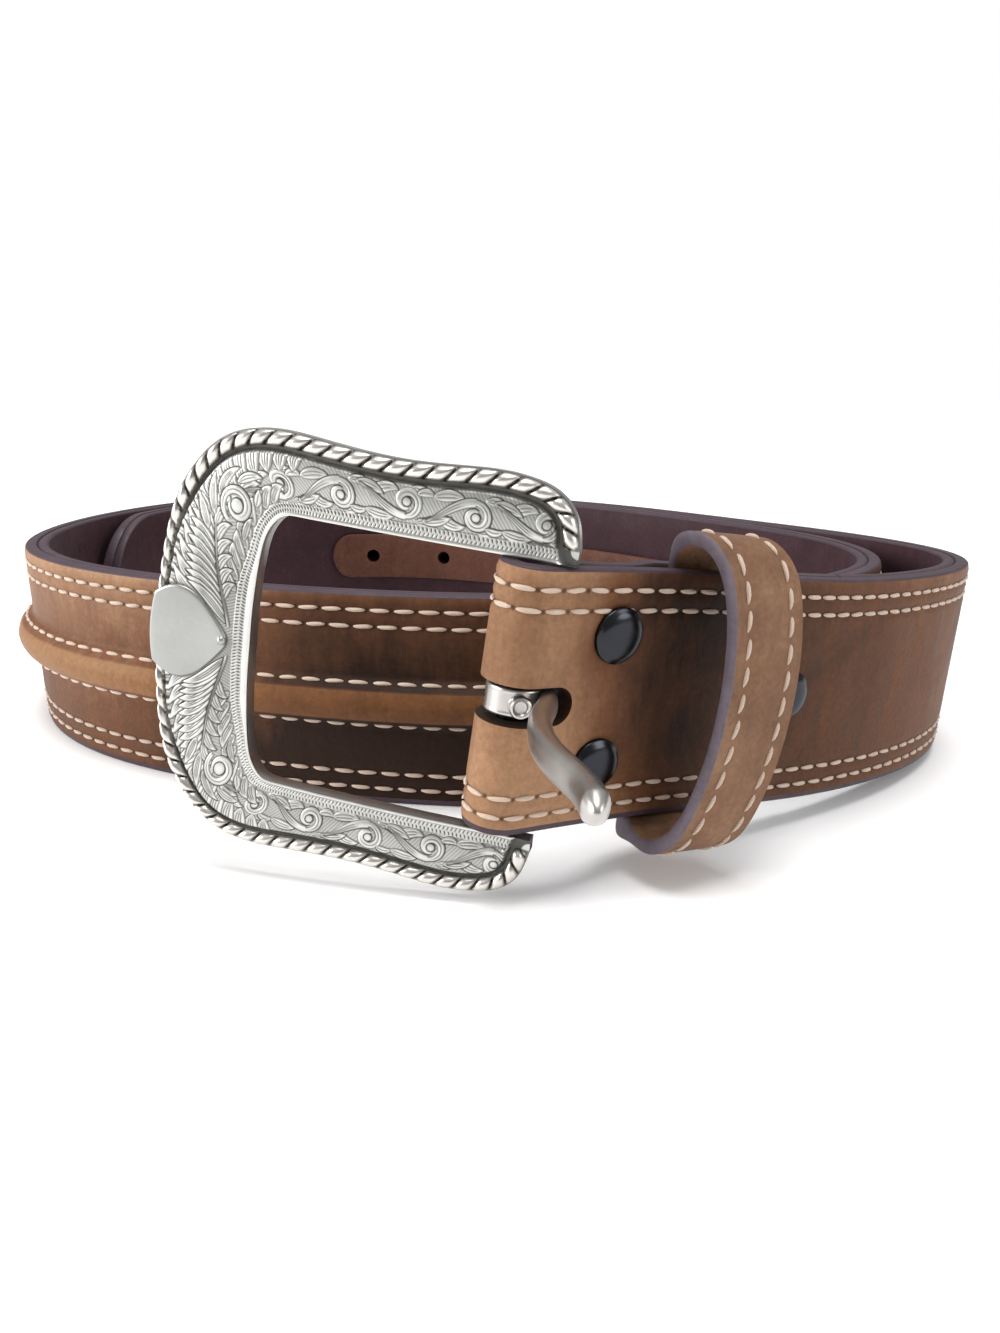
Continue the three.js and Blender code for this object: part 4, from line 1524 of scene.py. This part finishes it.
def on_band(t, share):
    """Points at a share of the band's width from its opening, and that width."""
    a, b = band_in(t), band_out(t)
    p = a + (b - a) * share[:, None]
    return p, np.linalg.norm(b - a, axis=1)


def buckle_points(p, height):
    """Points of the buckle in the scene, from their across and up and their height on the face side."""
    return moved(np.stack([-p[:, 0], p[:, 1], height + bow_at(p[:, 0])], -1), frame_matrix())


def shield_outline():
    """Closed edge of the shield: round its point, then along its outer side."""
    upper = np.array(SHIELD, float)
    lower = upper[:-1][::-1] * (1, -1)
    line = np.vstack([upper, lower])
    knots = line_lengths(line)
    across, up = natural_spline(knots, line[:, 0]), natural_spline(knots, line[:, 1])
    at = np.linspace(0, knots[-1], 80)
    corner = SHIELD[0][1]
    outer_up = np.linspace(-corner, corner, 17)[1:-1]
    outer = np.stack([55.8 - 0.6 * (outer_up / corner) ** 2, outer_up], -1)
    return np.vstack([np.stack([across(at), up(at)], -1), outer])


SHIELD_OUTLINE = shield_outline()

# Engraving, painted on the flattened half band: length from the middle of the far side, and distance
# outwards from the knurled line, both in millimetres

FIELD = 10.8
PAINT_STEP = 0.04
HATCH_PITCH = 0.55
OUTLINE = 0.14
FINE_LINE = 0.1


class Field:
    """Height and darkness of the engraved field."""

    def __init__(self):
        self.shape = (int(HALF_BAND / PAINT_STEP) + 2, int(FIELD / PAINT_STEP) + 2)
        self.height = np.zeros(self.shape, np.float32)
        # ground shaded with fine slanting cuts
        x, y = np.indices(self.shape, np.float32) * PAINT_STEP
        cut = np.sin((x + 0.7 * y) * 2 * math.pi / HATCH_PITCH)
        self.dark = (0.3 + 0.3 * np.clip(cut * 1.5, 0, 1)).astype(np.float32)

    def put(self, x, y, height, dark):
        """Paints height and darkness over what lies at the points."""
        i, j = np.round(x / PAINT_STEP).astype(int), np.round(y / PAINT_STEP).astype(int)
        ok = (i >= 0) & (i < self.shape[0]) & (j >= 0) & (j < self.shape[1])
        self.height[i[ok], j[ok]] = height[ok]
        self.dark[i[ok], j[ok]] = dark[ok]

    def ribbon(self, spine, wide, lines=1):
        """A leaf or stem along a spine with its half width at each point: outline, fine lines, round top."""
        length = line_lengths(spine)
        count = int(length[-1] / 0.02) + 4
        at = np.linspace(0, length[-1], count)
        x, y = np.interp(at, length, spine[:, 0]), np.interp(at, length, spine[:, 1])
        half = np.interp(at, length, wide)
        side = np.stack([-np.gradient(y), np.gradient(x)], -1)
        side = side / (np.linalg.norm(side, axis=1, keepdims=True) + 1e-9)
        n = np.linspace(-1, 1, 110)
        gx = x[:, None] + side[:, :1] * half[:, None] * n
        gy = y[:, None] + side[:, 1:] * half[:, None] * n
        inward = (1 - np.abs(n))[None] * half[:, None]
        share = (at / length[-1])[:, None]
        edge = np.clip(1.8 - inward / OUTLINE, 0, 1)
        dark = np.where(n[None] > 0, edge, edge * 0.8)
        # shaded along one side, as a graver leaves it
        dark = np.maximum(dark, 0.38 * np.clip(n[None] - 0.1, 0, 1))
        for k in range(lines):
            place = -0.5 + (k + 0.5) / lines
            line = np.clip(1.4 - np.abs(n[None] - place) * half[:, None] / FINE_LINE, 0, 1)
            line = line * np.clip((0.84 - share) * 6, 0, 1) * np.clip(share * 6, 0, 1) * 0.82
            dark = np.maximum(dark, line)
        height = 0.35 + 0.65 * np.sqrt(1 - n[None] ** 2) - 0.5 * dark
        self.put(gx.ravel(), gy.ravel(), height.ravel(), dark.ravel())

    def frond(self, x, y, angle, length, curl, width, lines=2):
        """A pointed leaf from a root, with its angle there and how far it curls, in radians."""
        t = np.linspace(0, 1, 40)
        bend = (angle + curl * t**1.5)[:-1]
        step = length / 39
        spine_x = x + np.concatenate(([0], np.cumsum(np.cos(bend)))) * step
        spine_y = y + np.concatenate(([0], np.cumsum(np.sin(bend)))) * step
        spine = np.stack([spine_x, spine_y], -1)
        wide = width * np.sin(math.pi * t**0.8) ** 0.75 + 0.05
        self.ribbon(spine, wide, lines)

    def head(self, x, y, radius):
        """A round bead with a dark outline, lighter towards its middle as a painted highlight."""
        turn = np.linspace(0, 2 * math.pi, 260)
        flat = np.ones(len(turn))
        for ring in np.linspace(1, 0, 60):
            # painted highlight: the bead is darker away from its middle
            dark = 1.0 if (1 - ring) * radius < 0.2 else 0.05 + 0.35 * max(0.0, ring - 0.3)
            height = 0.5 + 0.6 * math.sqrt(1 - ring**2)
            ring_x, ring_y = x + radius * ring * np.cos(turn), y + radius * ring * np.sin(turn)
            self.put(ring_x, ring_y, flat * height, flat * dark)

    def curl(self, x, y, radius, start, turns, width, head):
        """A scroll that winds in to a round head."""
        t = np.linspace(0, 1, 90)
        r = radius + (head - radius) * t**0.9
        angle = start + turns * 2 * math.pi * t
        spine = np.stack([x + r * np.cos(angle), y + r * np.sin(angle)], -1)
        self.ribbon(spine, width * (0.7 + 0.3 * np.sin(math.pi * t)), 1)
        self.head(x, y, head)


def scroll_bay(field, x, middle, up):
    """One scroll of the arms with the leaves round it; up is 1 where it winds beside the rope."""

    def flip(angle):
        return angle * up

    y = middle + up * 0.3
    # leaves of the ground first, then the stem and the scroll over them
    field.frond(x - 5.2, middle + up * 0.6, flip(0.75), 4.4, flip(-1.3), 0.85, 2)
    field.frond(x - 7.4, middle + up * 2.0, flip(-0.1), 4.4, flip(-0.5), 0.75, 2)
    field.frond(x - 6.0, middle - up * 1.5, flip(-0.35), 4.6, flip(0.75), 0.85, 2)
    field.frond(x + 1.2, middle - up * 2.15, flip(-0.1), 3.4, flip(0.9), 0.7, 2)
    field.frond(x + 0.4, middle + up * 2.4, flip(-0.15), 3.6, flip(-0.35), 0.6, 1)
    t = np.linspace(0, 1, 50)
    stem_x = x - 6.9 + 6.8 * t
    stem_y = y + up * (1.5 - 3.45 * np.sin(t * math.pi / 2) ** 1.4)
    field.ribbon(np.stack([stem_x, stem_y], -1), 0.2 + 0.5 * np.sin(t * math.pi * 0.62) ** 1.2, 2)
    field.curl(x, y, 2.0, flip(-1.65), up * 1.05, 0.66, 0.72)
    field.frond(x + 1.35, y + up * 1.2, flip(0.5), 2.8, flip(-1.5), 0.6, 1)


def soften(values):
    """Evens out the painted steps in place, one point with its four neighbours."""
    near = values[:-2, 1:-1] + values[2:, 1:-1] + values[1:-1, :-2] + values[1:-1, 2:]
    values[1:-1, 1:-1] = (values[1:-1, 1:-1] * 2 + near) / 6


def engrave():
    """Scrolls along the arms, and a fern between them and the shield."""
    field = Field()
    middle = 2.6
    for k in range(5):
        scroll_bay(field, 30.4 + 9.6 * k, middle, 1 if k % 2 == 0 else -1)
    # fern beside the shield: fronds on both sides of a stem that runs towards the corner
    t = np.linspace(0, 1, 60)
    stem_x = 2.6 + 14.6 * t
    stem_y = 0.9 + 5.2 * t**1.25
    lean = np.arctan2(np.gradient(stem_y), np.gradient(stem_x))
    # long leaves beside the rope, under the fern's own
    for x in np.linspace(33.0, -1.0, 18):
        field.frond(x, 4.6, 1.35, 7.6, -0.75, 1.15, 3)
    for x in np.linspace(27.0, 9.0, 10):
        field.frond(x, 0.2, 0.9, 4.6, -0.9, 0.95, 3)
    for place in np.linspace(0.98, 0.02, 12):
        k = int(place * 59)
        field.frond(stem_x[k], stem_y[k], lean[k] + 0.5, 9.0 - 3.2 * place, 1.0 - 0.3 * place, 0.95, 3)
    for place in np.linspace(0.98, 0.3, 6):
        k = int(place * 59)
        field.frond(stem_x[k], stem_y[k], lean[k] - 0.25, 3.9 + 0.8 * place, -1.35, 0.75, 2)
    field.ribbon(np.stack([stem_x, stem_y], -1), 0.34 - 0.12 * t, 1)
    # leaves that fill the outer corner, then the round head in its scroll
    field.frond(15.8, 6.8, 0.75, 5.0, 0.2, 0.85, 3)
    field.frond(18.2, 6.6, 0.6, 5.4, -0.2, 0.85, 3)
    field.frond(20.8, 6.8, 0.3, 5.2, -0.8, 0.8, 3)
    field.frond(17.8, 1.2, 0.1, 4.2, -0.4, 0.6, 2)
    field.curl(21.6, 3.8, 2.7, 2.9, -1.15, 0.72, 1.15)
    field.frond(24.2, 5.6, -0.2, 4.2, -0.6, 0.75, 2)
    field.frond(23.8, 1.4, 0.35, 3.0, 0.5, 0.65, 1)
    for _ in range(2):
        soften(field.height)
        soften(field.dark)
    return field


ENGRAVED = engrave()


def read_field(values, t, across):
    """Painted values at places of the band, mixed from the four nearest points."""
    x = np.clip(np.abs(t - HALF_BAND) / PAINT_STEP, 0, values.shape[0] - 2.01)
    y = np.clip(across / PAINT_STEP, 0, values.shape[1] - 2.01)
    i, j = x.astype(int), y.astype(int)
    part_x, part_y = x - i, y - j
    low = values[i, j] * (1 - part_x) + values[i + 1, j] * part_x
    high = values[i, j + 1] * (1 - part_x) + values[i + 1, j + 1] * part_x
    return low * (1 - part_y) + high * part_y


def wiggle(t, d):
    """Two rows of small slanting cuts, one each way, between the lip and the field; 1 in a cut."""
    lip, end = lip_width(t), knurl_end(t)
    share = (d - lip) / (end - lip)
    row = np.where(share < 0.5, 1.0, -1.0)
    within = np.where(share < 0.5, share, share - 0.5) * 2
    cut = np.cos((t / 0.6 + row * within * 0.42) * 2 * math.pi)
    body = np.clip(cut * 1.4 - 0.1, 0, 1) * np.clip(1 - np.abs(within - 0.5) * 2.2, 0, 1) ** 0.5
    return np.where((share > 0.02) & (share < 0.98), body, 0.0)


def face_height(t, d, from_out, cuts, engraved):
    """Height of the face from the distances to the opening and to the outer edge."""
    lip, end, rope = lip_width(t), knurl_end(t), rope_in(t)
    share = np.clip((d - end) / np.maximum(d + from_out - end - rope, 0.2), 0, 1)
    dome = 1.2 + 0.65 * np.sin(share * math.pi * 0.8 + 0.25)
    rounded = np.clip(1 - ((d - lip * 0.5) / (lip * 0.62)) ** 2, 0, 1)
    knurled = np.where(d < end, 1.5 - 0.12 * cuts, dome + 0.16 * engraved)
    height = np.where(d < lip, 1.42 + 0.2 * np.sqrt(rounded), knurled)
    groove = 0.6 + 0.25 * np.exp(-((from_out - rope) ** 2) / 0.04)
    fall = np.clip((from_out - rope) / 0.4, 0, 1)
    return np.where(from_out < rope, groove, height * (0.5 + 0.5 * fall**0.5))


def face_dark(t, d, from_out, cuts, engraved, points):
    """Darkness of the face: in the knurled line and the engraving, painted shade in the groove with a painted
    shadow band beside it, and a painted shadow round the shield.
    """
    lip, end, rope, far = lip_width(t), knurl_end(t), rope_in(t), far_share(t)
    dark = np.where(d < lip, 0, np.where(d < end, cuts * 0.75 + 0.2, engraved))
    under_rope = from_out < ROPE_INSET + rope_half(t)
    # painted shade in the groove inside the rope, lighter on the far side, then a painted shadow band from it
    # into the field
    dark = np.where(from_out < rope, np.where(under_rope, 0.1, 0.88 - 0.65 * far), dark)
    dark = np.maximum(dark, np.clip(1.0 - (from_out - rope) / 0.25, 0, 0.7 - 0.4 * far) * (d > end))
    dark = np.clip(dark + 0.12 * far * (d > lip), 0, 1)
    dark = np.maximum(dark, 0.6 * np.exp(-(((d - lip) / 0.1) ** 2)))
    # painted shadow: a dark line round the shield's edge
    near = np.abs(t - HALF_BAND) < 14
    gap = np.full(len(t), 9.0)
    away = points[near][:, None] - SHIELD_OUTLINE[None]
    gap[near] = np.min(np.hypot(*away.transpose(2, 0, 1)), 1)
    dark = np.maximum(dark, 0.85 * np.exp(-((gap / 0.45) ** 2)) * (d > lip))
    return np.clip(dark, 0, 1)


def face_shape(t, share):
    """Points, height and darkness of the band's face."""
    points, width = on_band(t, share)
    d = share * width
    from_out = from_edge(t, points)
    engraved = (d > knurl_end(t)) & (from_out > rope_in(t))
    relief_there = read_field(ENGRAVED.height, t, d - knurl_end(t)) * engraved
    dark_there = read_field(ENGRAVED.dark, t, d - knurl_end(t)) * engraved
    cuts = wiggle(t, d)
    height = face_height(t, d, from_out, cuts, relief_there)
    return points, height, face_dark(t, d, from_out, cuts, dark_there, points)


def darkness_with_shade_by_vertex(mesh, values):
    """A wear map of darkness, painted shade included, from a value for each vertex."""
    index = np.zeros(len(mesh.loops), np.int32)
    mesh.loops.foreach_get("vertex_index", index)
    add_map(mesh, "wear", values[index], 0.0)


# Pieces of the face: name, start and end as shares of the band, steps along and across it
FACES = (
    ("buckle_face_upper", 0.0, 0.42, 740, 118),
    ("buckle_face_far", 0.42, 0.58, 290, 130),
    ("buckle_face_lower", 0.58, 1.0, 740, 118),
)


def make_faces():
    silver = engraved_silver()
    for name, start, end, n_u, n_v in FACES:
        shade = {}

        def place(u, v):
            points, height, shade["dark"] = face_shape((start + (end - start) * u) * BAND_LENGTH, v)
            return buckle_points(points, height)

        face = grid(name, n_u, n_v, place, closed_v=False, sharp=70)
        darkness_with_shade_by_vertex(face.data, shade["dark"])
        face.data.materials.append(silver)
        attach(face, "buckle")
        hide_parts("buckle_frame")


# Back of the band, from the opening round to the outer edge: share of its width, height
BACK = (
    (0.0, 1.43),
    (0.0, 0.9),
    (0.0, -0.9),
    (0.02, -1.25),
    (0.06, -1.4),
    (0.5, -1.4),
    (0.94, -1.4),
    (0.98, -1.25),
    (1.0, -0.9),
    (1.0, -0.2),
    (0.995, 0.35),
    (0.98, 0.58),
)


def make_back():
    last = len(BACK) - 1
    shares, heights = np.array(BACK).T

    def place(u, v):
        k = v * last
        points, _ = on_band(u * BAND_LENGTH, np.interp(k, np.arange(len(BACK)), shares))
        return buckle_points(points, np.interp(k, np.arange(len(BACK)), heights))

    back = grid("buckle_back", 400, last, place, closed_v=False, sharp=50)
    back.data.materials.append(SILVER_PLAIN)
    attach(back, "buckle")


make_faces()
make_back()


ROPE_LENGTH = EDGE_LENGTHS[-1]
ROPE_STRANDS = round(ROPE_LENGTH / ROPE_PITCH)


def bead(u, v):
    """Share of a bead's height at a place: 0 in the gap, 1 on its crown; a smooth rim on the back."""
    theta = v * 2 * math.pi
    phase = (u * ROPE_LENGTH + ROPE_SLANT * np.cos(theta)) / (ROPE_LENGTH / ROPE_STRANDS)
    near = np.abs(phase - np.round(phase)) * 2
    crown = np.clip((near - 0.08) * 1.2, 0, 1)
    crown = np.sqrt(np.clip(1 - (1 - crown) ** 2, 0, 1))
    front = np.clip(np.sin(theta + 0.1) * 3.0 - 0.1, 0, 1)
    return crown * front + 0.75 * (1 - front)


def make_rope():
    """Cast rope edge: plump slanting beads that run along the rim of the face."""

    def place(u, v):
        at = u * ROPE_LENGTH
        t = np.interp(at, EDGE_LENGTHS, EDGE_T)
        edge = np.stack([np.interp(at, EDGE_LENGTHS, EDGE_POINTS[:, k]) for k in (0, 1)], -1)
        outward = unit(np.stack([np.interp(at, EDGE_LENGTHS, EDGE_NORMALS[:, k]) for k in (0, 1)], -1))
        half = rope_half(t)
        theta = v * 2 * math.pi
        plump = bead(u, v)
        end = np.clip(np.minimum(u, 1 - u) * ROPE_LENGTH / 0.9, 0, 1)
        end = np.sqrt(np.clip(1 - (1 - end) ** 2, 0, 1)) * 0.999 + 0.001
        across = -ROPE_INSET - half + half * np.cos(theta) * (0.86 + 0.14 * plump) * end
        height = 0.6 + 1.25 * np.sin(theta) * (0.5 + 0.5 * plump) * end
        return buckle_points(edge + outward * across[:, None], height)

    def shade(u, v):
        t = np.interp(u * ROPE_LENGTH, EDGE_LENGTHS, EDGE_T)
        return np.stack([np.maximum(bead(u, v), 0.62 * far_share(t)), v], -1)

    rope = grid("buckle_rope_edge", ROPE_STRANDS * 18, 36, place, uv=shade, sharp=75)
    rope.data.materials.append(rope_silver())
    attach(rope, "buckle")


make_rope()


# Shield from its foot to its middle: share of its outline, height
SHIELD_STEPS = (
    (1.0, 0.2),
    (1.0, 1.95),
    (0.985, 2.15),
    (0.955, 2.27),
    (0.92, 2.3),
    (0.6, 2.34),
    (0.3, 2.36),
    (0.003, 2.36),
)


def make_shield():
    """Plain raised plate in the middle of the far side, with a small ball at its point."""
    count = len(SHIELD_OUTLINE)
    middle = np.array([SHIELD_MIDDLE, 0.0])
    scales, heights = np.array(SHIELD_STEPS).T
    steps = np.arange(len(SHIELD_STEPS))
    matrix = frame_matrix()
    plate_bow = float(bow_at(np.array(49.5)))

    def place(u, v):
        i = np.round(u * count).astype(int) % count
        scale = np.interp(v * steps[-1], steps, scales)
        height = np.interp(v * steps[-1], steps, heights)
        p = middle + (SHIELD_OUTLINE[i] - middle) * scale[:, None]
        return moved(np.stack([-p[:, 0], p[:, 1], height + plate_bow], -1), matrix)

    shield = grid("buckle_shield", count, 21, place, closed_u=True, closed_v=False, caps=False, sharp=50)
    arc = np.linspace(-1, 1, 13) * math.pi / 2
    profile = [(BALL_RADIUS * math.cos(turn), BALL_RADIUS * math.sin(turn)) for turn in arc]
    seat = Matrix.Translation((-BALL_ACROSS * MM, 0, (2.05 + plate_bow) * MM))
    ball = lathe("shield_ball", profile, matrix @ seat, steps=24)
    brushed = metal("brushed shield", (0.39, 0.39, 0.375), 0.4, scratch=0.1, depth=0.3, scale=1200.0)
    for piece in (shield, ball):
        piece.data.materials.append(brushed)
        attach(piece, "buckle")


make_shield()


def make_bar():
    """Plain round bar that the strap folds over."""
    matrix = frame_matrix() @ Matrix.Rotation(-math.pi / 2, 4, "X")
    profile = [(0.0, -20.4), (1.7, -20.3), (2.0, -19.9), (2.0, 19.0), (1.7, 19.3), (0.0, 19.4)]
    bar = lathe("buckle_bar", profile, matrix, steps=32)
    bar.data.materials.append(GUNMETAL)
    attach(bar, "buckle")


make_bar()


# Prong


# Tip of the prong: its added length, and where its section stops growing narrower with the table
PRONG_ROUND = 0.5
PRONG_EVEN = 40.5


def make_prong_body():
    rows = np.array(PRONG)
    knots = rows[:, 0]
    face, wide, thick = (natural_spline(knots, rows[:, k]) for k in (1, 2, 3))
    first, last = knots[0], knots[-1]
    matrix = prong_matrix()

    def place(u, v):
        across = first + (last + PRONG_ROUND - first) * np.sin(u * math.pi / 2)
        inside = np.minimum(across, last)
        end = np.sqrt(np.clip((last + PRONG_ROUND - across) / 2.4, 0, 1))
        round_tip = np.minimum(end + 0.02, 1)
        half_wide = np.minimum(wide(np.minimum(inside, PRONG_EVEN)), 2.1) * round_tip
        half_thick = np.minimum(thick(np.minimum(inside, PRONG_EVEN)), 1.6) * round_tip
        theta = v * 2 * math.pi
        side = np.sign(np.cos(theta)) * np.abs(np.cos(theta)) ** 0.85
        rise = np.sign(np.sin(theta)) * np.abs(np.sin(theta)) ** 0.9
        return moved(np.stack([-across, side * half_wide, face(inside) + rise * half_thick], -1), matrix)

    prong = grid("prong_body", 90, 28, place, sharp=60)
    prong.data.materials.append(PRONG_STEEL)
    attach(prong, "prong")
    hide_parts("prong")


def make_curl():
    """Curl of the prong round the bar, with fine grooves round it."""
    half = CURL_HEIGHT / 2
    shoulder = CURL_OUTER - CURL_ROUND
    profile = [(CURL_INNER, -half), (shoulder, -half)]
    corner = [(math.sin(turn), 1 - math.cos(turn)) for turn in np.linspace(0, 1, 5) * math.pi / 2]
    profile += [(shoulder + CURL_ROUND * out, -half + CURL_ROUND * up) for out, up in corner]
    for k in range(9):
        z = -half + 0.6 + (CURL_HEIGHT - 1.2) * k / 8
        profile.append((CURL_OUTER - (0.12 if k % 2 else 0.0), z))
    profile += [(shoulder + CURL_ROUND * out, half - CURL_ROUND * up) for out, up in corner[::-1]]
    profile += [(CURL_INNER, half), (CURL_INNER, -half)]
    turned = prong_matrix() @ Matrix.Rotation(-math.pi / 2, 4, "X")
    return lathe("prong_curl", profile, turned, steps=64, sharp=50)


# Knob on the curl: radius, height
KNOB = (
    (0.0, 0.45),
    (0.5, 0.42),
    (0.85, 0.5),
    (1.02, 0.8),
    (1.25, 0.98),
    (1.5, 0.9),
    (1.65, 0.6),
    (1.65, -1.0),
    (0.0, -1.0),
)


def make_knob():
    """Round knob with a raised rim on the curl, beside the slot's left end."""
    radial = Vector((-1.58, 0.0, 4.1)).normalized()
    upright = Vector((0.0, 1.0, 0.0))
    turned = Matrix((upright.cross(radial), upright, radial)).transposed().to_4x4()
    seat = Matrix.Translation(radial * CURL_OUTER * MM)
    return lathe("prong_knob", KNOB, bar_matrix() @ seat @ turned, steps=40)


make_prong_body()
for piece in (make_curl(), make_knob()):
    piece.data.materials.append(PRONG_STEEL)
    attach(piece, "prong")


# Floor, light and camera


def make_floor():
    bm = bmesh.new()
    bmesh.ops.create_grid(bm, x_segments=1, y_segments=1, size=4.0)
    floor = finish_mesh("floor", bm)
    material, _, shader = new_material("pale floor")
    shader.inputs["Base Color"].default_value = (0.96, 0.96, 0.96, 1)
    shader.inputs["Roughness"].default_value = 0.8
    shader.inputs["Specular IOR Level"].default_value = 0.1
    floor.data.materials.append(material)


def make_world():
    """White to the camera; as light, grey that is brighter from above."""
    world = bpy.data.worlds.new("studio")
    bpy.context.scene.world = world
    world.use_nodes = True
    tree = world.node_tree
    background = tree.nodes["Background"]
    coords = tree.nodes.new("ShaderNodeTexCoord").outputs["Generated"]
    split = node(tree, "ShaderNodeSeparateXYZ", Vector=coords)
    height = map_range(tree, split.outputs["Z"], 0.0, 0.9, 0.2, 0.62)
    grey = node(tree, "ShaderNodeCombineColor", Red=height, Green=height, Blue=height)
    seen = tree.nodes.new("ShaderNodeLightPath").outputs["Is Camera Ray"]
    colour = mix_colour(tree, seen, grey.outputs["Color"], (1.0, 1.0, 1.0))
    link(tree, colour, background.inputs["Color"])
    background.inputs["Strength"].default_value = 1.0


def area_light(name, location, target, size, energy):
    """Round light at a place, turned to its target."""
    data = bpy.data.lights.new(name, "AREA")
    data.shape = "DISK"
    data.size = size
    data.energy = energy
    light = bpy.data.objects.new(name, data)
    light.location = location
    direction = Vector(target) - Vector(location)
    light.rotation_euler = direction.to_track_quat("-Z", "Y").to_euler()
    bpy.context.scene.collection.objects.link(light)


def make_camera():
    """Camera as fitted to the photo: 16 degrees down, half a degree rolled, 75 mm above the floor."""
    pitch, roll = math.radians(16), math.radians(0.5)
    forward = Vector((0, math.cos(pitch), -math.sin(pitch)))
    upward = Vector((0, math.sin(pitch), math.cos(pitch)))
    right = math.cos(roll) * Vector((1, 0, 0)) + math.sin(roll) * upward
    over = -math.sin(roll) * Vector((1, 0, 0)) + math.cos(roll) * upward
    data = bpy.data.cameras.new("camera")
    data.sensor_width = 36
    data.lens = 1000 / 1333 * 36
    data.clip_start = 0.01
    camera = bpy.data.objects.new("camera", data)
    rot = Matrix((right, over, -forward)).transposed().to_4x4()
    camera.matrix_world = Matrix.Translation((8.35 * MM, -215.57 * MM, 75 * MM)) @ rot
    bpy.context.scene.collection.objects.link(camera)
    bpy.context.scene.camera = camera


def sun_light(name, direction, strength, angle):
    data = bpy.data.lights.new(name, "SUN")
    data.energy = strength
    data.angle = math.radians(angle)
    light = bpy.data.objects.new(name, data)
    light.rotation_euler = Vector(direction).to_track_quat("-Z", "Y").to_euler()
    bpy.context.scene.collection.objects.link(light)


make_floor()
make_world()
sun_light("overhead", (0.0, 0.05, -1.0), 2.35, 30)
area_light("left window", (-0.85, -0.22, 0.32), (-0.02, -0.03, 0.02), 0.5, 8.0)
area_light("right window", (0.8, -0.35, 0.35), (0.02, -0.03, 0.02), 0.45, 2.4)
make_camera()
bpy.context.scene.view_settings.view_transform = "Standard"
